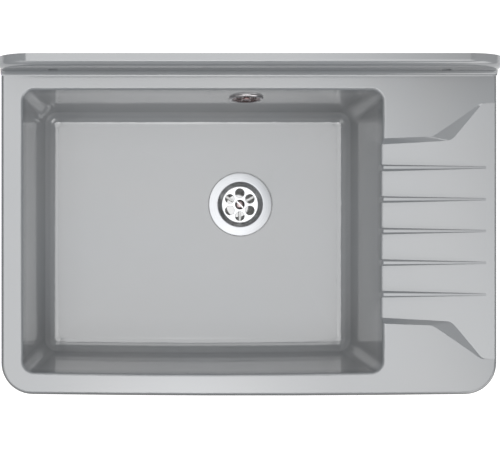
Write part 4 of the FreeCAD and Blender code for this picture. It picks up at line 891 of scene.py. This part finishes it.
outside = np.concatenate([np.linspace(0, HOSE_CUFF, 8, endpoint=False),
                          np.linspace(HOSE_CUFF, HOSE_LENGTH - HOSE_CUFF, HOSE_RIBS * 10 + 1),
                          np.linspace(HOSE_LENGTH - HOSE_CUFF, HOSE_LENGTH, 9)[1:]])
inside = np.linspace(HOSE_LENGTH, 0, 60)
s = np.concatenate([outside, inside])[:, None]
reach = np.concatenate([hose_outside(outside), 0 * inside + HOSE_BORE_R])[:, None]
around = np.linspace(0, 2 * math.pi, HOSE_COLUMNS, endpoint=False)[None, :]
line_y, line_z, heading = hose_line(s)
hose_points = np.stack([reach * np.cos(around), line_y + reach * np.sin(around) * np.cos(heading),
                        line_z - reach * np.sin(around) * np.sin(heading)], axis=-1).reshape(-1, 3)
make_piece("overflow_hose_ribbed", (hose_points, grid_faces(len(s), HOSE_COLUMNS, True, True)),
           hose_plastic, "overflow_hose", crease=60)

# %% [markdown]
# ## Studio
# The photograph looks straight down through a fairly long lens held off-centre, above the left half of
# the bowl, so the frame is brought back by shifting the lens. One large soft light hangs over the left
# and the front. It ends short of the rear right corner, which is why the deck is darker there: the
# glossy skin mirrors the light everywhere else.

# %% Camera
camera = bpy.data.objects.new("camera", bpy.data.cameras.new("camera"))
bpy.context.scene.collection.objects.link(camera)
camera.location = (-0.0997, -0.265, 1.250)
camera.data.sensor_width = 36
camera.data.lens = 59.6
camera.data.shift_x = 0.134
camera.data.shift_y = 0.022
bpy.context.scene.camera = camera
print("camera at", tuple(round(v, 4) for v in camera.location))


# %% Lights
def softbox(name, centre, size, radiance, aim):
    """An area light of this size in metres, aimed at a point; its watts are radiance x pi x area."""
    lamp = bpy.data.lights.new(name, "AREA")
    lamp.shape = "RECTANGLE"
    lamp.size, lamp.size_y = size
    lamp.energy = radiance * math.pi * size[0] * size[1]
    place = bpy.data.objects.new(name, lamp)
    bpy.context.scene.collection.objects.link(place)
    place.location = centre
    place.rotation_mode = "QUATERNION"
    place.rotation_quaternion = (Vector(aim) - Vector(centre)).to_track_quat("-Z", "Y")
    place.visible_camera = False
    return place


SINK_MIDDLE = (0, -0.25, 0)
softbox("front_left_light", (-2.6, -2.8, 3.5), (3.0, 2.4), 0.7, SINK_MIDDLE)
softbox("front_right_light", (2.6, -2.8, 1.8), (3.0, 2.4), 1.6, SINK_MIDDLE)
softbox("rear_light", (0, 3.0, 3.5), (3.0, 2.0), 1.0, SINK_MIDDLE)


def sheet_of(name, low, high, level, material):
    """A level rectangle between two corners, an object of its own that is not attached to the sink."""
    mesh = bpy.data.meshes.new(name)
    mesh.from_pydata([(low[0], low[1], level), (high[0], low[1], level), (high[0], high[1], level),
                      (low[0], high[1], level)], [], [(0, 1, 2, 3)])
    mesh.materials.append(material)
    place = bpy.data.objects.new(name, mesh)
    bpy.context.scene.collection.objects.link(place)
    return place


def blank(name):
    """A new material with an empty node tree."""
    material = bpy.data.materials.new(name)
    material.use_nodes = True
    material.node_tree.nodes.clear()
    return material, material.node_tree


SOFTBOX_LEVEL = 5.0
SOFTBOX_RADIANCE = 2.32
BULB = (-0.1, -2.1, SOFTBOX_LEVEL)
glow_cloth, tree = blank("softbox_cloth")
place = add(tree, "ShaderNodeTexCoord").outputs["Object"]
across = add(tree, "ShaderNodeSeparateXYZ", {0: place})
corner = maths(tree, "MULTIPLY_ADD", across.outputs["Y"], 0.4, across.outputs["X"])
fall = rising(tree, corner, (0.9, 3.3), (1.0, 0.1), "SMOOTHSTEP")
bulb = rising(tree, vector_maths(tree, "DISTANCE", place, BULB), (0.2, 1.45), (0.6, 0.0), "SMOOTHSTEP")
strength = maths(tree, "MULTIPLY", maths(tree, "ADD", fall, bulb), SOFTBOX_RADIANCE)
cloth = add(tree, "ShaderNodeEmission", {"Strength": strength})
add(tree, "ShaderNodeOutputMaterial", {"Surface": cloth.outputs[0]})
overhead = sheet_of("overhead_softbox", (-2.6, -2.4), (2.8, 2.1), SOFTBOX_LEVEL, glow_cloth)
overhead.visible_camera = False


# %% World and floor
def seen_rays(tree):
    """1 for rays of the camera and for mirrored or refracted rays, 0 for diffuse ones."""
    path = add(tree, "ShaderNodeLightPath")
    seen = maths(tree, "MAXIMUM", path.outputs["Is Camera Ray"], path.outputs["Is Glossy Ray"])
    return maths(tree, "MAXIMUM", seen, path.outputs["Is Transmission Ray"])


ROOM_LEVEL = 0.42
PAPER_GREY = 0.5
PAPER_GLOW = 0.8               # the floor's own light, where it is looked at or mirrored
world = bpy.data.worlds.new("studio_room")
bpy.context.scene.world = world
world.use_nodes = True
world.node_tree.nodes["Background"].inputs["Color"].default_value = (1, 1, 1, 1)
world.node_tree.nodes["Background"].inputs["Strength"].default_value = ROOM_LEVEL

paper, tree = blank("white_paper")
sheet = add(tree, "ShaderNodeBsdfDiffuse", {"Color": grey(PAPER_GREY)})
shine = maths(tree, "MULTIPLY", seen_rays(tree), PAPER_GLOW)
glow = add(tree, "ShaderNodeEmission", {"Color": grey(1.0), "Strength": shine})
white = add(tree, "ShaderNodeAddShader", {0: sheet.outputs[0], 1: glow.outputs[0]})
clear = add(tree, "ShaderNodeBsdfTransparent")
face = add(tree, "ShaderNodeNewGeometry")
one_sided = add(tree, "ShaderNodeMixShader", {
    0: face.outputs["Backfacing"], 1: white.outputs[0], 2: clear.outputs[0]})
add(tree, "ShaderNodeOutputMaterial", {"Surface": one_sided.outputs[0]})
sheet_of("studio_floor", (-6, -6), (6, 6), cad_box[0][2], paper)

bpy.context.scene.view_settings.view_transform = "Standard"
